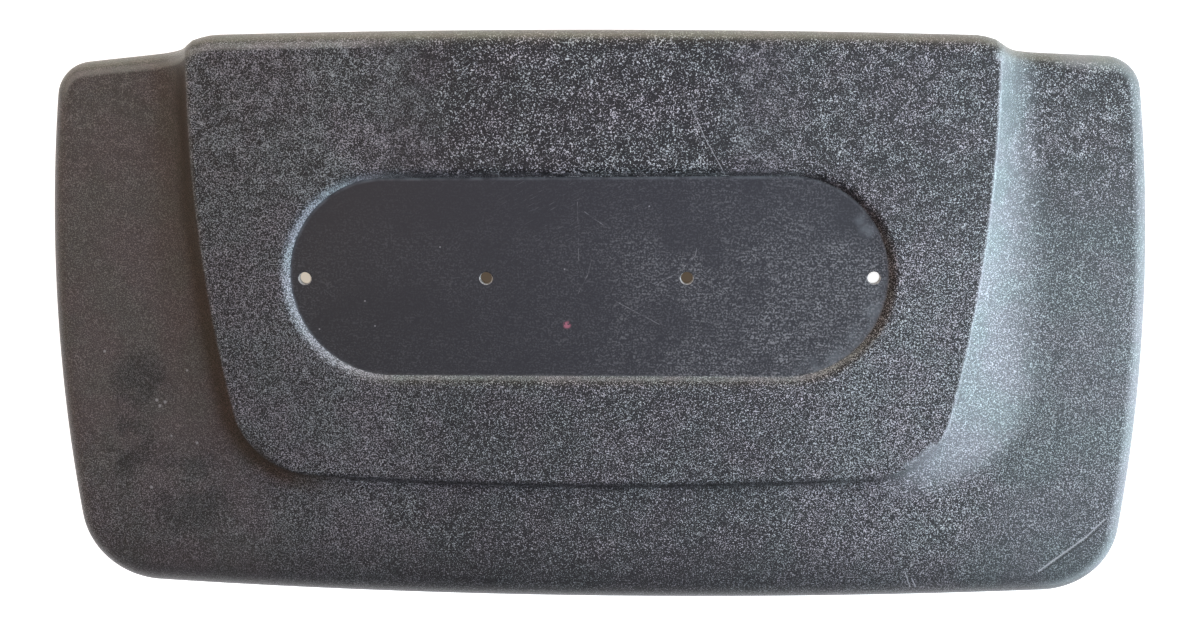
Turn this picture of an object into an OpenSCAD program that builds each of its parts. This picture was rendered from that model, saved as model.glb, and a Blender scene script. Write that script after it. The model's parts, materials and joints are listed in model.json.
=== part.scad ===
// Engine cover: one hollow plastic moulding that stands on its rim.
// A raised centre panel falls through hollowed flanks to a wing on each side, and over a small step to
// a front apron. A smooth seat with four pin holes is sunk into the panel.
// X runs across the car, +Y to the rear of the cover and +Z up. The rim lies in the plane z = 0.

/* [Outline] */
// Half of the width between the bowed sides
half_w = 250.5; // [235:0.5:265]
// Depth from the front edge to the rear edge
depth = 261; // [250:1:272]
// Radius of the bow of each side
side_r = 770; // [600:10:1200]
// Where the sides are widest, measured rearward from the middle
side_y = 8; // [-10:1:25]
// Radius of the bow of the front edge
front_r = 4500; // [3000:100:8000]
// Radius of the front left corner
corner_l = 38; // [28:1:44]
// Radius of the front right corner
corner_r = 35; // [26:1:42]
// Radius of the rear corners
corner_rear = 17; // [12:0.5:20]
// Radius of the bow of the panel's rear edge
rear_r = 6800; // [4000:100:9000]
// Where the panel's rear edge stands furthest back, measured across
rear_apex_x = -70; // [-90:5:0]

/* [Wings] */
// Where the left wing's rear edge leaves the shoulder, measured rearward from the middle
wing_rear_l = 125; // [120:0.1:127]
// Where the right wing's rear edge leaves the shoulder, measured rearward from the middle
wing_rear_r = 121; // [118:0.1:124]
// Slope of the left wing's rear edge, in degrees
wing_rake_l = 5.2; // [0:0.1:9]
// Slope of the right wing's rear edge, in degrees
wing_rake_r = 2.9; // [0:0.1:9]
// Where the left shoulder's curve leaves the panel's rear edge, measured across
shoulder_l = 161; // [156:0.5:168]
// Where the right shoulder's curve leaves the panel's rear edge, measured across
shoulder_r = 167; // [160:0.5:170]
// Width of each shoulder's curve, from the panel's rear edge to the wing's
shoulder_run = 22; // [18:0.5:28]
// Height of the wings and apron over the middle of the cover
wing_z = 40; // [34:0.5:44]
// Rise of the wings and apron towards the rear, in degrees
wing_tilt = 1; // [0:0.1:2]
// Fall of the wings from the middle line to the sides
wing_fall = 3; // [0:0.5:5]

/* [Centre panel] */
// Half of the panel's greatest width, at its crisp edge
panel_half_w = 176.2; // [170:0.1:180]
// Where the panel is widest, measured rearward from the middle
panel_wide_y = 89; // [80:1:95]
// Radius of the bow of the panel's sides
panel_side_r = 645; // [560:5:800]
// Distance of the panel's front edge in front of the middle
panel_front = 73.2; // [68:0.1:78]
// Radius of the bow of the panel's front edge
panel_front_r = 2200; // [1800:50:3000]
// Radius of the panel's front corners
panel_corner = 25; // [18:1:32]
// Lean of the panel's sides to the right, towards the rear, in degrees
panel_lean = 0.5; // [0:0.1:1]
// Height of the panel at its front edge
panel_front_z = 41.5; // [40.5:0.5:46]
// Rise of the panel towards the rear, in degrees
panel_tilt = 5.5; // [4:0.1:6.5]
// Crown of the panel, from its middle line to its sides
panel_crown = 1.5; // [0:0.1:2]
// Half of the width of the rounding along the panel's crisp edge
crisp = 1.6; // [0.8:0.1:2.2]

/* [Flanks] */
// Width of the flank at the rear of the panel
flank_rear = 24; // [18:1:30]
// Width of the flank at the panel's front corners
flank_corner = 48; // [36:1:52]
// Width of the step along the panel's front edge
flank_front = 8; // [6:0.5:14]
// Length over which the flank narrows to the front step
flank_blend = 45; // [30:1:60]
// How hollow the flank is: 1 is a straight slope
flank_hollow = 2.2; // [1.5:0.1:3]

/* [Shell] */
// Thickness of the wall
wall = 2.8; // [2:0.1:3.4]
// Radius of the rounding over the sides and the rear edge
round_side = 8.5; // [7:0.5:10]
// Radius of the rounding over the front edge
round_front = 12; // [9:0.5:14]
// Outward flare of the skirt at the rim
flare = 1.5; // [0.5:0.1:3]

/* [Seat] */
// Length of the seat's smooth floor
seat_len = 268.5; // [250:0.5:274]
// Width of the seat's smooth floor
seat_w = 90.6; // [84:0.1:96]
// Middle of the seat, measured rearward from the middle of the cover
seat_y = 21.4; // [15:0.1:26]
// Depth of the seat below the panel
seat_depth = 5; // [3:0.1:7]
// How far the seat's wall leans out between its floor and the panel
seat_lean = 1.6; // [1:0.1:3.5]
// Size of the slope that breaks the edge of the seat
seat_lip = 1; // [0.5:0.1:1.6]
// Diameter of the pin holes
pin_d = 5.3; // [3:0.1:8]
// Distance of the outer pin holes from the ends of the seat
pin_end = 6.75; // [4:0.05:20]
// Distance of the inner pin holes from the middle line
pin_inner_x = 45; // [30:0.1:70]

/* [Hidden] */
// Clearance of cutting tools past the faces that they cut
past = 1;
// Half width and radius of the small ring, inside the seat's opening, where the panel's mesh ends
core_half = 80;
core_r = 25;
// Segments along each stretch of the outline, and rings across each zone of the surface
n_rear_corner = 2;
n_side = 13;
n_corner = 7;
n_front = 9;
n_rear = 15;
n_across = 11;
n_round = 5;
panel_rings = [0.14, 0.35, 0.65, 1];
// How the rings across a wing bunch up towards the panel
bunch = 1.5;
// Steps over which the slopes of the rear edge and of the surface are measured
edge_step = 0.05;
slope_step = 0.4;
// A length that keeps the flank's share defined far from both edges of the panel
tiny = 0.01;
// How far the pan's top stands below the panel's plane, in wall thicknesses
pan_top = 0.7;
$fn = 96;

side_c = [half_w - side_r, side_y];
front_c = [0, front_r - depth / 2];
panel_side_c = [panel_half_w - panel_side_r, panel_wide_y];
panel_front_c = [0, panel_front_r - panel_front];
seat_z = panel_front_z + (seat_y + panel_front) * tan(panel_tilt);

// Plain helpers
function lerp(a, b, t) = a + (b - a) * t;
function clamp(t) = max(0, min(1, t));
function ease(t) = let (c = clamp(t)) c * c * (3 - 2 * c);
function unit(v) = v / norm(v);
function flip(points) = [for (k = [len(points) - 1 : -1 : 0]) points[k]];
function tail(points) = [for (k = [1 : len(points) - 1]) points[k]];
function mirrored(rows) = [for (p = rows) [-p.x, p.y, -p[2], p[3]]];

// Where two circles meet, on the side of the first that faces right and forward
function meet(c1, r1, c2, r2) =
    let (
        d = norm(c2 - c1),
        a = (r1 * r1 - r2 * r2 + d * d) / (2 * d),
        u = (c2 - c1) / d
    )
    c1 + a * u + sqrt(r1 * r1 - a * a) * [u.y, -u.x];

function angle_of(v) = atan2(v.y, v.x);

// Points of an arc, each with its outward normal
function arc(c, r, a0, a1, n) =
    [for (k = [0 : n]) let (a = lerp(a0, a1, k / n)) [c.x + r * cos(a), c.y + r * sin(a), cos(a), sin(a)]];

// The rear edge seen from above, for the left (-1) or right (1) side
function wing_rear(side) = side < 0 ? wing_rear_l : wing_rear_r;
function wing_rake(side) = side < 0 ? wing_rake_l : wing_rake_r;
function shoulder(side) = side < 0 ? shoulder_l : shoulder_r;
function panel_rear_y(x) = depth / 2 - pow(x - rear_apex_x, 2) / (2 * rear_r);
function wing_rear_y(x, side) =
    wing_rear(side) - (abs(x) - shoulder(side) - shoulder_run) * tan(wing_rake(side));
function rear_y(x, side) =
    lerp(
        panel_rear_y(side * abs(x)),
        wing_rear_y(x, side),
        ease((abs(x) - shoulder(side)) / shoulder_run)
    );
function rear_normal(x, side) =
    let (h = edge_step) unit([(rear_y(x - h, side) - rear_y(x + h, side)) / (2 * h), 1]);
function rear_point(x, side) = let (n = rear_normal(x, side)) [x, rear_y(x, side), n.x, n.y];

// Centre of a rear corner, where the bowed side meets the wing's rear edge
function rear_corner_c(side, y, steps) =
    let (x = side_c.x + sqrt(pow(side_r - corner_rear, 2) - pow(y - side_c.y, 2)))
    steps == 0 ? [x, y]
    : rear_corner_c(side, wing_rear_y(x, side) - corner_rear / cos(wing_rake(side)), steps - 1);

// Sideways shift of the leaning panel at a distance rearward from the middle
function lean_at(y) = (y + panel_front) * tan(panel_lean);

// Distance outside the panel's edge, with its front corners rounded
function off_side(p) = norm([abs(p.x - lean_at(p.y)), p.y] - panel_side_c) - panel_side_r;
function off_front(p) = norm(p - panel_front_c) - panel_front_r;
function off_panel(p) =
    let (a = off_side(p) + panel_corner, b = off_front(p) + panel_corner)
    min(max(a, b), 0) + norm([max(a, 0), max(b, 0)]) - panel_corner;

// Heights of the panel's plane with its crown, and of the wings and apron
function panel_z(p) =
    panel_front_z + (p.y + panel_front) * tan(panel_tilt) - panel_crown * pow(p.x / panel_half_w, 2);
function base_z(p) = wing_z + p.y * tan(wing_tilt) - wing_fall * pow(p.x / half_w, 2);

// Width of the flank beside a point: wide at the corners, narrow in front
function flank_run(p) =
    let (
        a = max(0, off_side(p) + flank_blend),
        b = max(0, off_front(p) + flank_blend),
        t = clamp((panel_wide_y - p.y) / (panel_wide_y + panel_front))
    )
    lerp(lerp(flank_rear, flank_corner, t), flank_front, ease(b / (a + b + tiny)));

// Fall of the surface at a distance outside the panel's edge, out of the whole drop
function flank_fall(d, drop, run) = drop * (1 - pow(1 - clamp(d / run), flank_hollow));
function fall(d, drop, run) =
    d <= -crisp ? 0
    : d < crisp ? flank_fall(crisp, drop, run) * pow((d + crisp) / (2 * crisp), 2)
    : flank_fall(d, drop, run);

// Height of the outer surface, before its outer edges are rounded
function top_z(p) = panel_z(p) - fall(off_panel(p), panel_z(p) - base_z(p), flank_run(p));
function slope_factor(p) =
    let (
        h = slope_step,
        gx = (top_z(p + [h, 0]) - top_z(p - [h, 0])) / (2 * h),
        gy = (top_z(p + [0, h]) - top_z(p - [0, h])) / (2 * h)
    )
    sqrt(1 + gx * gx + gy * gy);

// Radius of the outer rounding, which grows from the sides to the front edge
function round_at(o) = lerp(round_side, round_front, pow(max(0, -o[3]), 2));

// Outline of one side, from the middle of the rear corner to the middle of the front edge
function outline_half(side) =
    let (
        rc = side < 0 ? corner_l : corner_r,
        rear = rear_corner_c(side, wing_rear(side) - corner_rear, 6),
        front = meet(side_c, side_r - rc, front_c, front_r - rc),
        a_side = angle_of(rear - side_c),
        a_mid = (a_side + 90 - wing_rake(side)) / 2,
        b_side = angle_of(front - side_c),
        b_front = angle_of(front - front_c)
    )
    concat(
        arc(rear, corner_rear, a_mid, a_side, n_rear_corner),
        tail(arc(side_c, side_r, a_side, b_side, n_side)),
        tail(arc(front, rc, b_side, b_front, n_corner)),
        tail(arc(front_c, front_r, b_front, -90, n_front))
    );

// Distance across from the middle at which the panel's crisp edge runs into the rear rounding
function crease_x(side, x, steps) =
    let (
        n = rear_normal(x, side),
        y = rear_y(x, side) - round_side * n.y,
        edge = panel_side_c.x + sqrt(pow(panel_side_r, 2) - pow(y - panel_side_c.y, 2))
    )
    steps == 0 ? x : crease_x(side, edge + side * lean_at(y) + round_side * n.x, steps - 1);

// Rear edge of one wing, from the crease to the middle of the rear corner
function wing_edge(side) =
    let (
        rear = rear_corner_c(side, wing_rear(side) - corner_rear, 6),
        a_rear = 90 - wing_rake(side),
        a_mid = (angle_of(rear - side_c) + a_rear) / 2,
        x0 = crease_x(side, panel_half_w, 6),
        x1 = rear.x + corner_rear * cos(a_rear),
        n = n_across - n_rear_corner
    )
    concat(
        [for (k = [0 : n - 1]) rear_point(lerp(x0, x1, pow(k / n, bunch)), side)],
        arc(rear, corner_rear, a_rear, a_mid, n_rear_corner)
    );

// Panel's crisp edge on one side, point for point with the outline of that side
function panel_half(start_y) =
    let (
        front = meet(panel_side_c, panel_side_r - panel_corner, panel_front_c, panel_front_r - panel_corner),
        b_side = angle_of(front - panel_side_c),
        b_front = angle_of(front - panel_front_c)
    )
    concat(
        arc(panel_side_c, panel_side_r, asin((start_y - panel_wide_y) / panel_side_r), b_side,
            n_rear_corner + n_side),
        tail(arc(front, panel_corner, b_side, b_front, n_corner)),
        tail(arc(panel_front_c, panel_front_r, b_front, -90, n_front))
    );

function inset(o, d) = [o.x - d * o[2], o.y - d * o[3]];
function leaning(points) = [for (p = points) [p.x + lean_at(p.y), p.y]];

wing_l = mirrored(wing_edge(-1));
wing_r = wing_edge(1);
outline = concat(mirrored(outline_half(-1)), tail(flip(outline_half(1))));
crease_l = inset(wing_l[0], round_side);
crease_r = inset(wing_r[0], round_side);
panel_edge = leaning(concat(mirrored(panel_half(crease_l.y)), tail(flip(panel_half(crease_r.y)))));
rear_edge = [
    for (k = [1 : n_rear])
        let (x = lerp(wing_r[0].x, wing_l[0].x, k / (n_rear + 1)))
        let (n = rear_normal(x, sign(x)))
        [x, rear_y(x, sign(x)), n.x, n.y]
];
ns = len(outline);
nt = n_across + 1;

// All round the outline: front from left to right, right wing, panel's rear edge, left wing
border = concat(
    outline,
    tail(flip(wing_r)),
    rear_edge,
    [for (k = [0 : nt - 2]) wing_l[k]]
);
nb = len(border);

// Plan of the zone between the panel's edge and the rounding, one row across for each outline point
function across(s, t) =
    s == 0 ? inset(wing_l[t], round_at(wing_l[t]))
    : s == ns - 1 ? inset(wing_r[t], round_at(wing_r[t]))
    : lerp(panel_edge[s], inset(outline[s], round_at(outline[s])), pow(t / (nt - 1), bunch));
band_plan = [for (s = [0 : ns - 1]) for (t = [0 : nt - 1]) across(s, t)];
rear_plan = [for (o = rear_edge) inset(o, round_at(o))];

// Ring round the panel, and the small ring inside the seat to which its mesh shrinks
ring0 = concat([for (s = [0 : ns - 1]) across(s, 0)], rear_plan);
np = len(ring0);
function core_point(p) =
    let (c = [p.x * core_half / half_w, seat_y])
    c + core_r * unit(p - c);
panel_plan = concat(
    [for (p = ring0) p + crisp * unit(core_point(p) - p)],
    [for (t = panel_rings) for (p = ring0) lerp(p, core_point(p), t)]
);

// One skin of the shell, set in from the outer surface by the given thickness
function on_top(p, off) = [p.x, p.y, top_z(p) - (off == 0 ? 0 : off * slope_factor(p))];
function on_round(o, off, a) =
    let (
        r = round_at(o) - off,
        p = inset(o, off + r * (1 - cos(a))),
        q = on_top(p, off)
    )
    [q.x, q.y, q.z - r * (1 - sin(a))];
function on_rim(o, off) = let (p = inset(o, off - flare)) [p.x, p.y, 0];
function skin(off) = concat(
    [for (p = band_plan) on_top(p, off)],
    [for (p = rear_plan) on_top(p, off)],
    [for (k = [n_round - 1 : -1 : 0]) for (o = border) on_round(o, off, 90 * k / n_round)],
    [for (o = border) on_rim(o, off)],
    [for (p = panel_plan) on_top(p, off)],
    [on_top([0, seat_y], off)]
);

// Where each group of points starts in a skin
rear_at = ns * nt;
round_at_0 = rear_at + len(rear_edge);
rim_at = round_at_0 + n_round * nb;
panel_at = rim_at + nb;
middle = panel_at + len(panel_plan);
total = middle + 1;

border_ids = concat(
    [for (s = [0 : ns - 1]) s * nt + nt - 1],
    [for (t = [nt - 2 : -1 : 0]) (ns - 1) * nt + t],
    [for (k = [0 : len(rear_edge) - 1]) rear_at + k],
    [for (t = [0 : nt - 2]) t]
);
ring0_ids = concat([for (s = [0 : ns - 1]) s * nt], [for (k = [0 : len(rear_edge) - 1]) rear_at + k]);

function quad(a, b, c, d) = [[a, b, c], [a, c, d]];
function belt(inner, outer) =
    let (n = len(inner))
    [for (k = [0 : n - 1]) let (m = (k + 1) % n) each quad(inner[k], outer[k], outer[m], inner[m])];
function run_of(start, n) = [for (k = [0 : n - 1]) start + k];
function round_rings() = concat(
    [border_ids],
    [for (k = [0 : n_round - 1]) run_of(round_at_0 + k * nb, nb)],
    [run_of(rim_at, nb)]
);
function panel_ring_ids() = concat(
    [ring0_ids],
    [for (k = [0 : len(panel_rings)]) run_of(panel_at + k * np, np)]
);
function skin_faces() =
    let (rounds = round_rings(), rings = panel_ring_ids(), last = rings[len(rings) - 1])
    concat(
        [for (s = [0 : ns - 2]) for (t = [0 : nt - 2])
            each quad(s * nt + t, s * nt + t + 1, (s + 1) * nt + t + 1, (s + 1) * nt + t)],
        [for (k = [0 : len(rounds) - 2]) each belt(rounds[k], rounds[k + 1])],
        [for (k = [0 : len(rings) - 2]) each belt(rings[k + 1], rings[k])],
        [for (k = [0 : np - 1]) [last[k], last[(k + 1) % np], middle]]
    );

// The hollow moulding, without its seat
module moulding() {
    faces = skin_faces();
    color([0.24, 0.24, 0.25])
        polyhedron(
            points = concat(skin(0), skin(wall)),
            faces = concat(
                [for (f = faces) flip(f)],
                [for (f = faces) [for (k = f) k + total]],
                [for (f = belt(run_of(rim_at, nb), run_of(rim_at + total, nb))) flip(f)]
            )
        );
}

// Round-ended block along X whose wall leans out from the lower to the upper radius
module round_ended(half_len, r_low, r_high, z_low, z_high) {
    for (side = [-1, 1])
        translate([side * half_len, 0, 0])
            rotate([0, 0, -90 * side])
                rotate_extrude(angle = 180)
                    polygon([[0, z_low], [r_low, z_low], [r_high, z_high], [0, z_high]]);
    translate([-half_len, 0, 0])
        rotate([90, 0, 90])
            linear_extrude(2 * half_len)
                polygon([[-r_low, z_low], [r_low, z_low], [r_high, z_high], [-r_high, z_high]]);
}

// Places things on the panel's plane at the middle of the seat
module on_seat() {
    translate([0, seat_y, seat_z])
        rotate([panel_tilt, 0, 0])
            children();
}

pin_outer_x = seat_len / 2 - pin_end;
seat_half = (seat_len - seat_w) / 2;
seat_floor_r = seat_w / 2;
seat_top_r = seat_floor_r + seat_lean;
// Height, over the seat's floor and back from the panel's plane, at which the seat's edge is broken
lip_z = -seat_lip - panel_crown * pow(seat_len / 2 / panel_half_w, 2);
pan_bottom = -seat_depth - wall;

// Pan under the seat, of the same wall as the moulding
module seat_pan() {
    color([0.2, 0.2, 0.21])
        on_seat()
            round_ended(seat_half, seat_floor_r + wall, seat_top_r + wall, pan_bottom, -wall * pan_top);
}

// Room above the seat's floor, with its edge broken
module seat_room() {
    on_seat() {
        round_ended(seat_half, seat_floor_r, seat_top_r, -seat_depth, lip_z);
        round_ended(seat_half, seat_top_r, seat_top_r - lip_z + past, lip_z, past);
    }
}

// Four holes through the seat's floor, square to it
module pin_holes() {
    on_seat()
        for (x = [-pin_outer_x, -pin_inner_x, pin_inner_x, pin_outer_x])
            translate([x, 0, pan_bottom - past])
                cylinder(d = pin_d, h = wall + 2 * past);
}

module cover() {
    difference() {
        union() {
            moulding();
            seat_pan();
        }
        seat_room();
        pin_holes();
    }
}

cover();
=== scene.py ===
"""Looks of a hollow moulded engine cover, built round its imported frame.

Lengths are in metres and angles in degrees. X runs across the car, +Y to the rear of the cover and +Z up. The
rim lies in the plane z = 0.
"""

import json
import logging
import math
from dataclasses import dataclass, field
from enum import Enum
from functools import cached_property, partial, reduce
from typing import Iterable, Protocol, Sequence

import bmesh
import bpy
import numpy as np
from mathutils import Matrix, Vector
from mathutils.kdtree import KDTree


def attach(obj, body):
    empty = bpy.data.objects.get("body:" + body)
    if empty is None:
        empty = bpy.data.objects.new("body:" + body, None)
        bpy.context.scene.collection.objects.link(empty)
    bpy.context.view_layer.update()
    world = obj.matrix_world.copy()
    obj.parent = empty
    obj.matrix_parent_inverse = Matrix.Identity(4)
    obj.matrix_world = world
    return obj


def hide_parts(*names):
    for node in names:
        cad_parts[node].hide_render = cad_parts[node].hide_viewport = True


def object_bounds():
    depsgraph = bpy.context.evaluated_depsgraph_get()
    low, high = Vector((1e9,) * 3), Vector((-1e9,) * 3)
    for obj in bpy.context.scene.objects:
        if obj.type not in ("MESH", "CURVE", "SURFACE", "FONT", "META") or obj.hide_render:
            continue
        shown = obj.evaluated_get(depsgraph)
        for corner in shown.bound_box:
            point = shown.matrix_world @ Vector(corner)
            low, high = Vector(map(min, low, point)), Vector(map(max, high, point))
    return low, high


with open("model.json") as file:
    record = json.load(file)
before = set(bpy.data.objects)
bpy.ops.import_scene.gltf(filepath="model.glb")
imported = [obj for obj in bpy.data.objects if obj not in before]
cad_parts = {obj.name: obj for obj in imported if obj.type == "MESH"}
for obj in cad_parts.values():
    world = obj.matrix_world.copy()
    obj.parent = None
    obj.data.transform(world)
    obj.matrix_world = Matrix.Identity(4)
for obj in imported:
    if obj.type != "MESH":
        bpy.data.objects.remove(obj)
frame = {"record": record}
cad_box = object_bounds()

LOG = logging.getLogger("engine_cover")
Points = np.ndarray
Range = tuple[float, float]
Colour = tuple[float, float, float, float]
Output = bpy.types.NodeSocket


def lerp(a: Points, b: Points, t: float) -> Points:
    """Goes the share t of the way from a to b."""
    return a + (b - a) * t


def ease(t: Points) -> Points:
    """Smooth step from 0 to 1, flat beyond both ends."""
    c = np.clip(t, 0.0, 1.0)
    return c * c * (3.0 - 2.0 * c)


def across_rows(values: Points) -> Points:
    """Turns one value a point into a column that multiplies points."""
    return np.asarray(values)[:, None]


def between(start: Points, end: Points, steps: int) -> list[Points]:
    """Evenly spaced rows after one row and up to another."""
    return [lerp(start, end, k / steps) for k in range(1, steps + 1)]


def arc(centre: Sequence[float], radius: float, start: float, end: float, steps: int) -> Points:
    """Sets out an arc in plan.

    Args:
        centre: Centre of the arc.
        radius: Its radius.
        start: Angle of its first point.
        end: Angle of its last point.
        steps: Number of chords.

    Returns:
        Rows of x, y and the outward normal's x and y.
    """
    angle = np.radians(np.linspace(start, end, steps + 1))
    normal = np.column_stack([np.cos(angle), np.sin(angle)])
    return np.hstack([np.asarray(centre) + radius * normal, normal])


def circles_meet(c1: Points, r1: float, c2: Points, r2: float) -> Points:
    """Finds where two circles cross, on the side of the first that faces right and forward.

    Args:
        c1: Centre of the first circle.
        r1: Its radius.
        c2: Centre of the second circle.
        r2: Its radius.

    Returns:
        The point in plan.
    """
    gap = np.linalg.norm(c2 - c1)
    along = (r1 * r1 - r2 * r2 + gap * gap) / (2.0 * gap)
    u = (c2 - c1) / gap
    return c1 + along * u + math.sqrt(r1 * r1 - along * along) * np.array([u[1], -u[0]])


def angle_of(vector: Points) -> float:
    """Angle of a vector in plan."""
    return math.degrees(math.atan2(vector[1], vector[0]))


def inset(outline: Points, distance: Points) -> Points:
    """Moves outline points inward along their normals."""
    return outline[:, :2] - across_rows(np.broadcast_to(distance, len(outline))) * outline[:, 2:]


def mirrored(outline: Points) -> Points:
    """Mirrors outline points, and their normals, to the left side."""
    return outline * np.array([-1.0, 1.0, -1.0, 1.0])


def bent(start: Points, corner: Points, end: Points, steps: int) -> list[Points]:
    """Rows of points on the curve that rounds a corner.

    Args:
        start: Row at which the curve begins, which is not among the rows returned.
        corner: Row of the corner that is rounded.
        end: Row at which the curve ends.
        steps: Number of rows.

    Returns:
        The rows, the last of which is end.
    """
    shares = [k / steps for k in range(1, steps + 1)]
    return [lerp(lerp(start, corner, t), lerp(corner, end, t), t) for t in shares]


@dataclass(frozen=True)
class Side:
    """Sizes that one side of the cover has to itself."""

    sign: int
    front_corner: float
    wing_rear: float
    wing_rake: float
    shoulder: float


LEFT = Side(sign=-1, front_corner=0.038, wing_rear=0.125, wing_rake=5.2, shoulder=0.161)
RIGHT = Side(sign=1, front_corner=0.035, wing_rear=0.121, wing_rake=2.9, shoulder=0.167)


@dataclass(frozen=True)
class Fineness:
    """Numbers of steps along the outline and of rows across each zone of the moulding."""

    rear_corner: int = 6
    side: int = 60
    corner: int = 24
    front: int = 44
    rear: int = 90
    across: int = 34
    rounding: int = 10
    skirt: int = 6
    panel: int = 13
    seat_edge: int = 6
    seat_wall: int = 3
    pin: int = 32
    broken_edge: int = 3


@dataclass
class CoverForm:
    """Plan and heights of the moulding's outer surface."""

    half_w: float
    depth: float

    # Outline
    side_r: float = 0.77
    side_y: float = 0.008
    front_r: float = 4.5
    corner_rear: float = 0.017
    rear_r: float = 6.8
    rear_apex_x: float = -0.07
    shoulder_run: float = 0.022

    # Wings and apron
    wing_z: float = 0.04
    wing_tilt: float = 1.0
    wing_fall: float = 0.003

    # Panel
    panel_half_w: float = 0.1762
    panel_wide_y: float = 0.089
    panel_side_r: float = 0.645
    panel_front: float = 0.0732
    panel_front_r: float = 2.2
    panel_corner: float = 0.025
    panel_lean: float = 0.5
    panel_front_z: float = 0.0415
    panel_tilt: float = 5.5
    panel_crown: float = 0.0015
    crisp: float = 0.0016

    # Flanks
    flank_rear: float = 0.024
    flank_corner: float = 0.048
    flank_front: float = 0.008
    flank_blend: float = 0.045
    flank_hollow: float = 2.2

    # Wall, roundings and skirt
    wall: float = 0.0028
    round_side: float = 0.0085
    round_front: float = 0.012
    flare: float = 0.0015

    # Working of the surface
    flank_guard: float = 1e-5
    edge_step: float = 0.00005
    slope_step: float = 0.0004
    bunching: float = 1.5
    passes: int = 8
    fine: Fineness = field(default_factory=Fineness)

    def __post_init__(self) -> None:
        """Works out the centres of the four great arcs."""
        self.side_c = np.array([self.half_w - self.side_r, self.side_y])
        self.front_c = np.array([0.0, self.front_r - self.depth / 2])
        self.panel_side_c = np.array([self.panel_half_w - self.panel_side_r, self.panel_wide_y])
        self.panel_front_c = np.array([0.0, self.panel_front_r - self.panel_front])

    def lean_at(self, y: Points) -> Points:
        """Sideways shift of the leaning panel."""
        return (y + self.panel_front) * math.tan(math.radians(self.panel_lean))

    def wing_rear_y(self, side: Side, x: Points) -> Points:
        """Rear edge of a wing, at a distance x outward from the middle."""
        run = x - side.shoulder - self.shoulder_run
        return side.wing_rear - run * math.tan(math.radians(side.wing_rake))

    def rear_y(self, side: Side, x: Points) -> Points:
        """Rear edge over the panel, shoulder and wing of one side."""
        panel = self.depth / 2 - (side.sign * x - self.rear_apex_x) ** 2 / (2 * self.rear_r)
        return lerp(panel, self.wing_rear_y(side, x), ease((x - side.shoulder) / self.shoulder_run))

    def rear_points(self, side: Side, x: Points) -> Points:
        """Points of the rear edge of one side with their normals, as if on the right.

        Args:
            side: Side of the cover.
            x: Distances outward from the middle.

        Returns:
            Rows of x, y and the outward normal's x and y.
        """
        h = self.edge_step
        slope = (self.rear_y(side, x + h) - self.rear_y(side, x - h)) / (2 * h)
        size = np.hypot(slope, 1.0)
        return np.column_stack([x, self.rear_y(side, x), -slope / size, 1.0 / size])

    def rear_corner_c(self, side: Side) -> Points:
        """Centre of a rear corner, where the bowed side meets the wing's rear edge.

        Args:
            side: Side of the cover.

        Returns:
            The centre in plan, as if on the right.
        """
        y = side.wing_rear - self.corner_rear
        lift = self.corner_rear / math.cos(math.radians(side.wing_rake))
        reach = self.side_r - self.corner_rear
        for _ in range(self.passes):
            x = self.side_c[0] + math.sqrt(reach ** 2 - (y - self.side_y) ** 2)
            y = self.wing_rear_y(side, x) - lift
        return np.array([x, y])

    def outline_half(self, side: Side) -> Points:
        """Outline of one side from the rear corner to the middle of the front, as if on the right.

        Args:
            side: Side of the cover.

        Returns:
            Rows of x, y and the outward normal's x and y.
        """
        rear = self.rear_corner_c(side)
        front = circles_meet(
            self.side_c, self.side_r - side.front_corner, self.front_c, self.front_r - side.front_corner
        )
        a_side = angle_of(rear - self.side_c)
        a_middle = (a_side + 90.0 - side.wing_rake) / 2
        b_side, b_front = angle_of(front - self.side_c), angle_of(front - self.front_c)
        return np.vstack([
            arc(rear, self.corner_rear, a_middle, a_side, self.fine.rear_corner),
            arc(self.side_c, self.side_r, a_side, b_side, self.fine.side)[1:],
            arc(front, side.front_corner, b_side, b_front, self.fine.corner)[1:],
            arc(self.front_c, self.front_r, b_front, -90.0, self.fine.front)[1:],
        ])

    def crease_x(self, side: Side) -> float:
        """Distance from the middle at which the panel's edge runs into the rear rounding.

        Args:
            side: Side of the cover.

        Returns:
            The distance.
        """
        x = self.panel_half_w
        for _ in range(self.passes):
            _, y, nx, ny = self.rear_points(side, np.array([x]))[0]
            y -= self.round_side * ny
            edge = self.panel_side_c[0] + math.sqrt(self.panel_side_r ** 2 - (y - self.panel_wide_y) ** 2)
            x = edge + side.sign * self.lean_at(y) + self.round_side * nx
        return x

    def wing_edge(self, side: Side) -> Points:
        """Rear edge of one wing, from the crease to the middle of the rear corner.

        Args:
            side: Side of the cover.

        Returns:
            Rows of x, y and the outward normal's x and y, as if on the right.
        """
        rear = self.rear_corner_c(side)
        a_rear = 90.0 - side.wing_rake
        a_middle = (angle_of(rear - self.side_c) + a_rear) / 2
        first, last = self.crease_x(side), rear[0] + self.corner_rear * math.cos(math.radians(a_rear))
        steps = self.fine.across - self.fine.rear_corner
        x = lerp(first, last, (np.arange(steps) / steps) ** self.bunching)
        return np.vstack([
            self.rear_points(side, x),
            arc(rear, self.corner_rear, a_rear, a_middle, self.fine.rear_corner),
        ])

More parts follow.
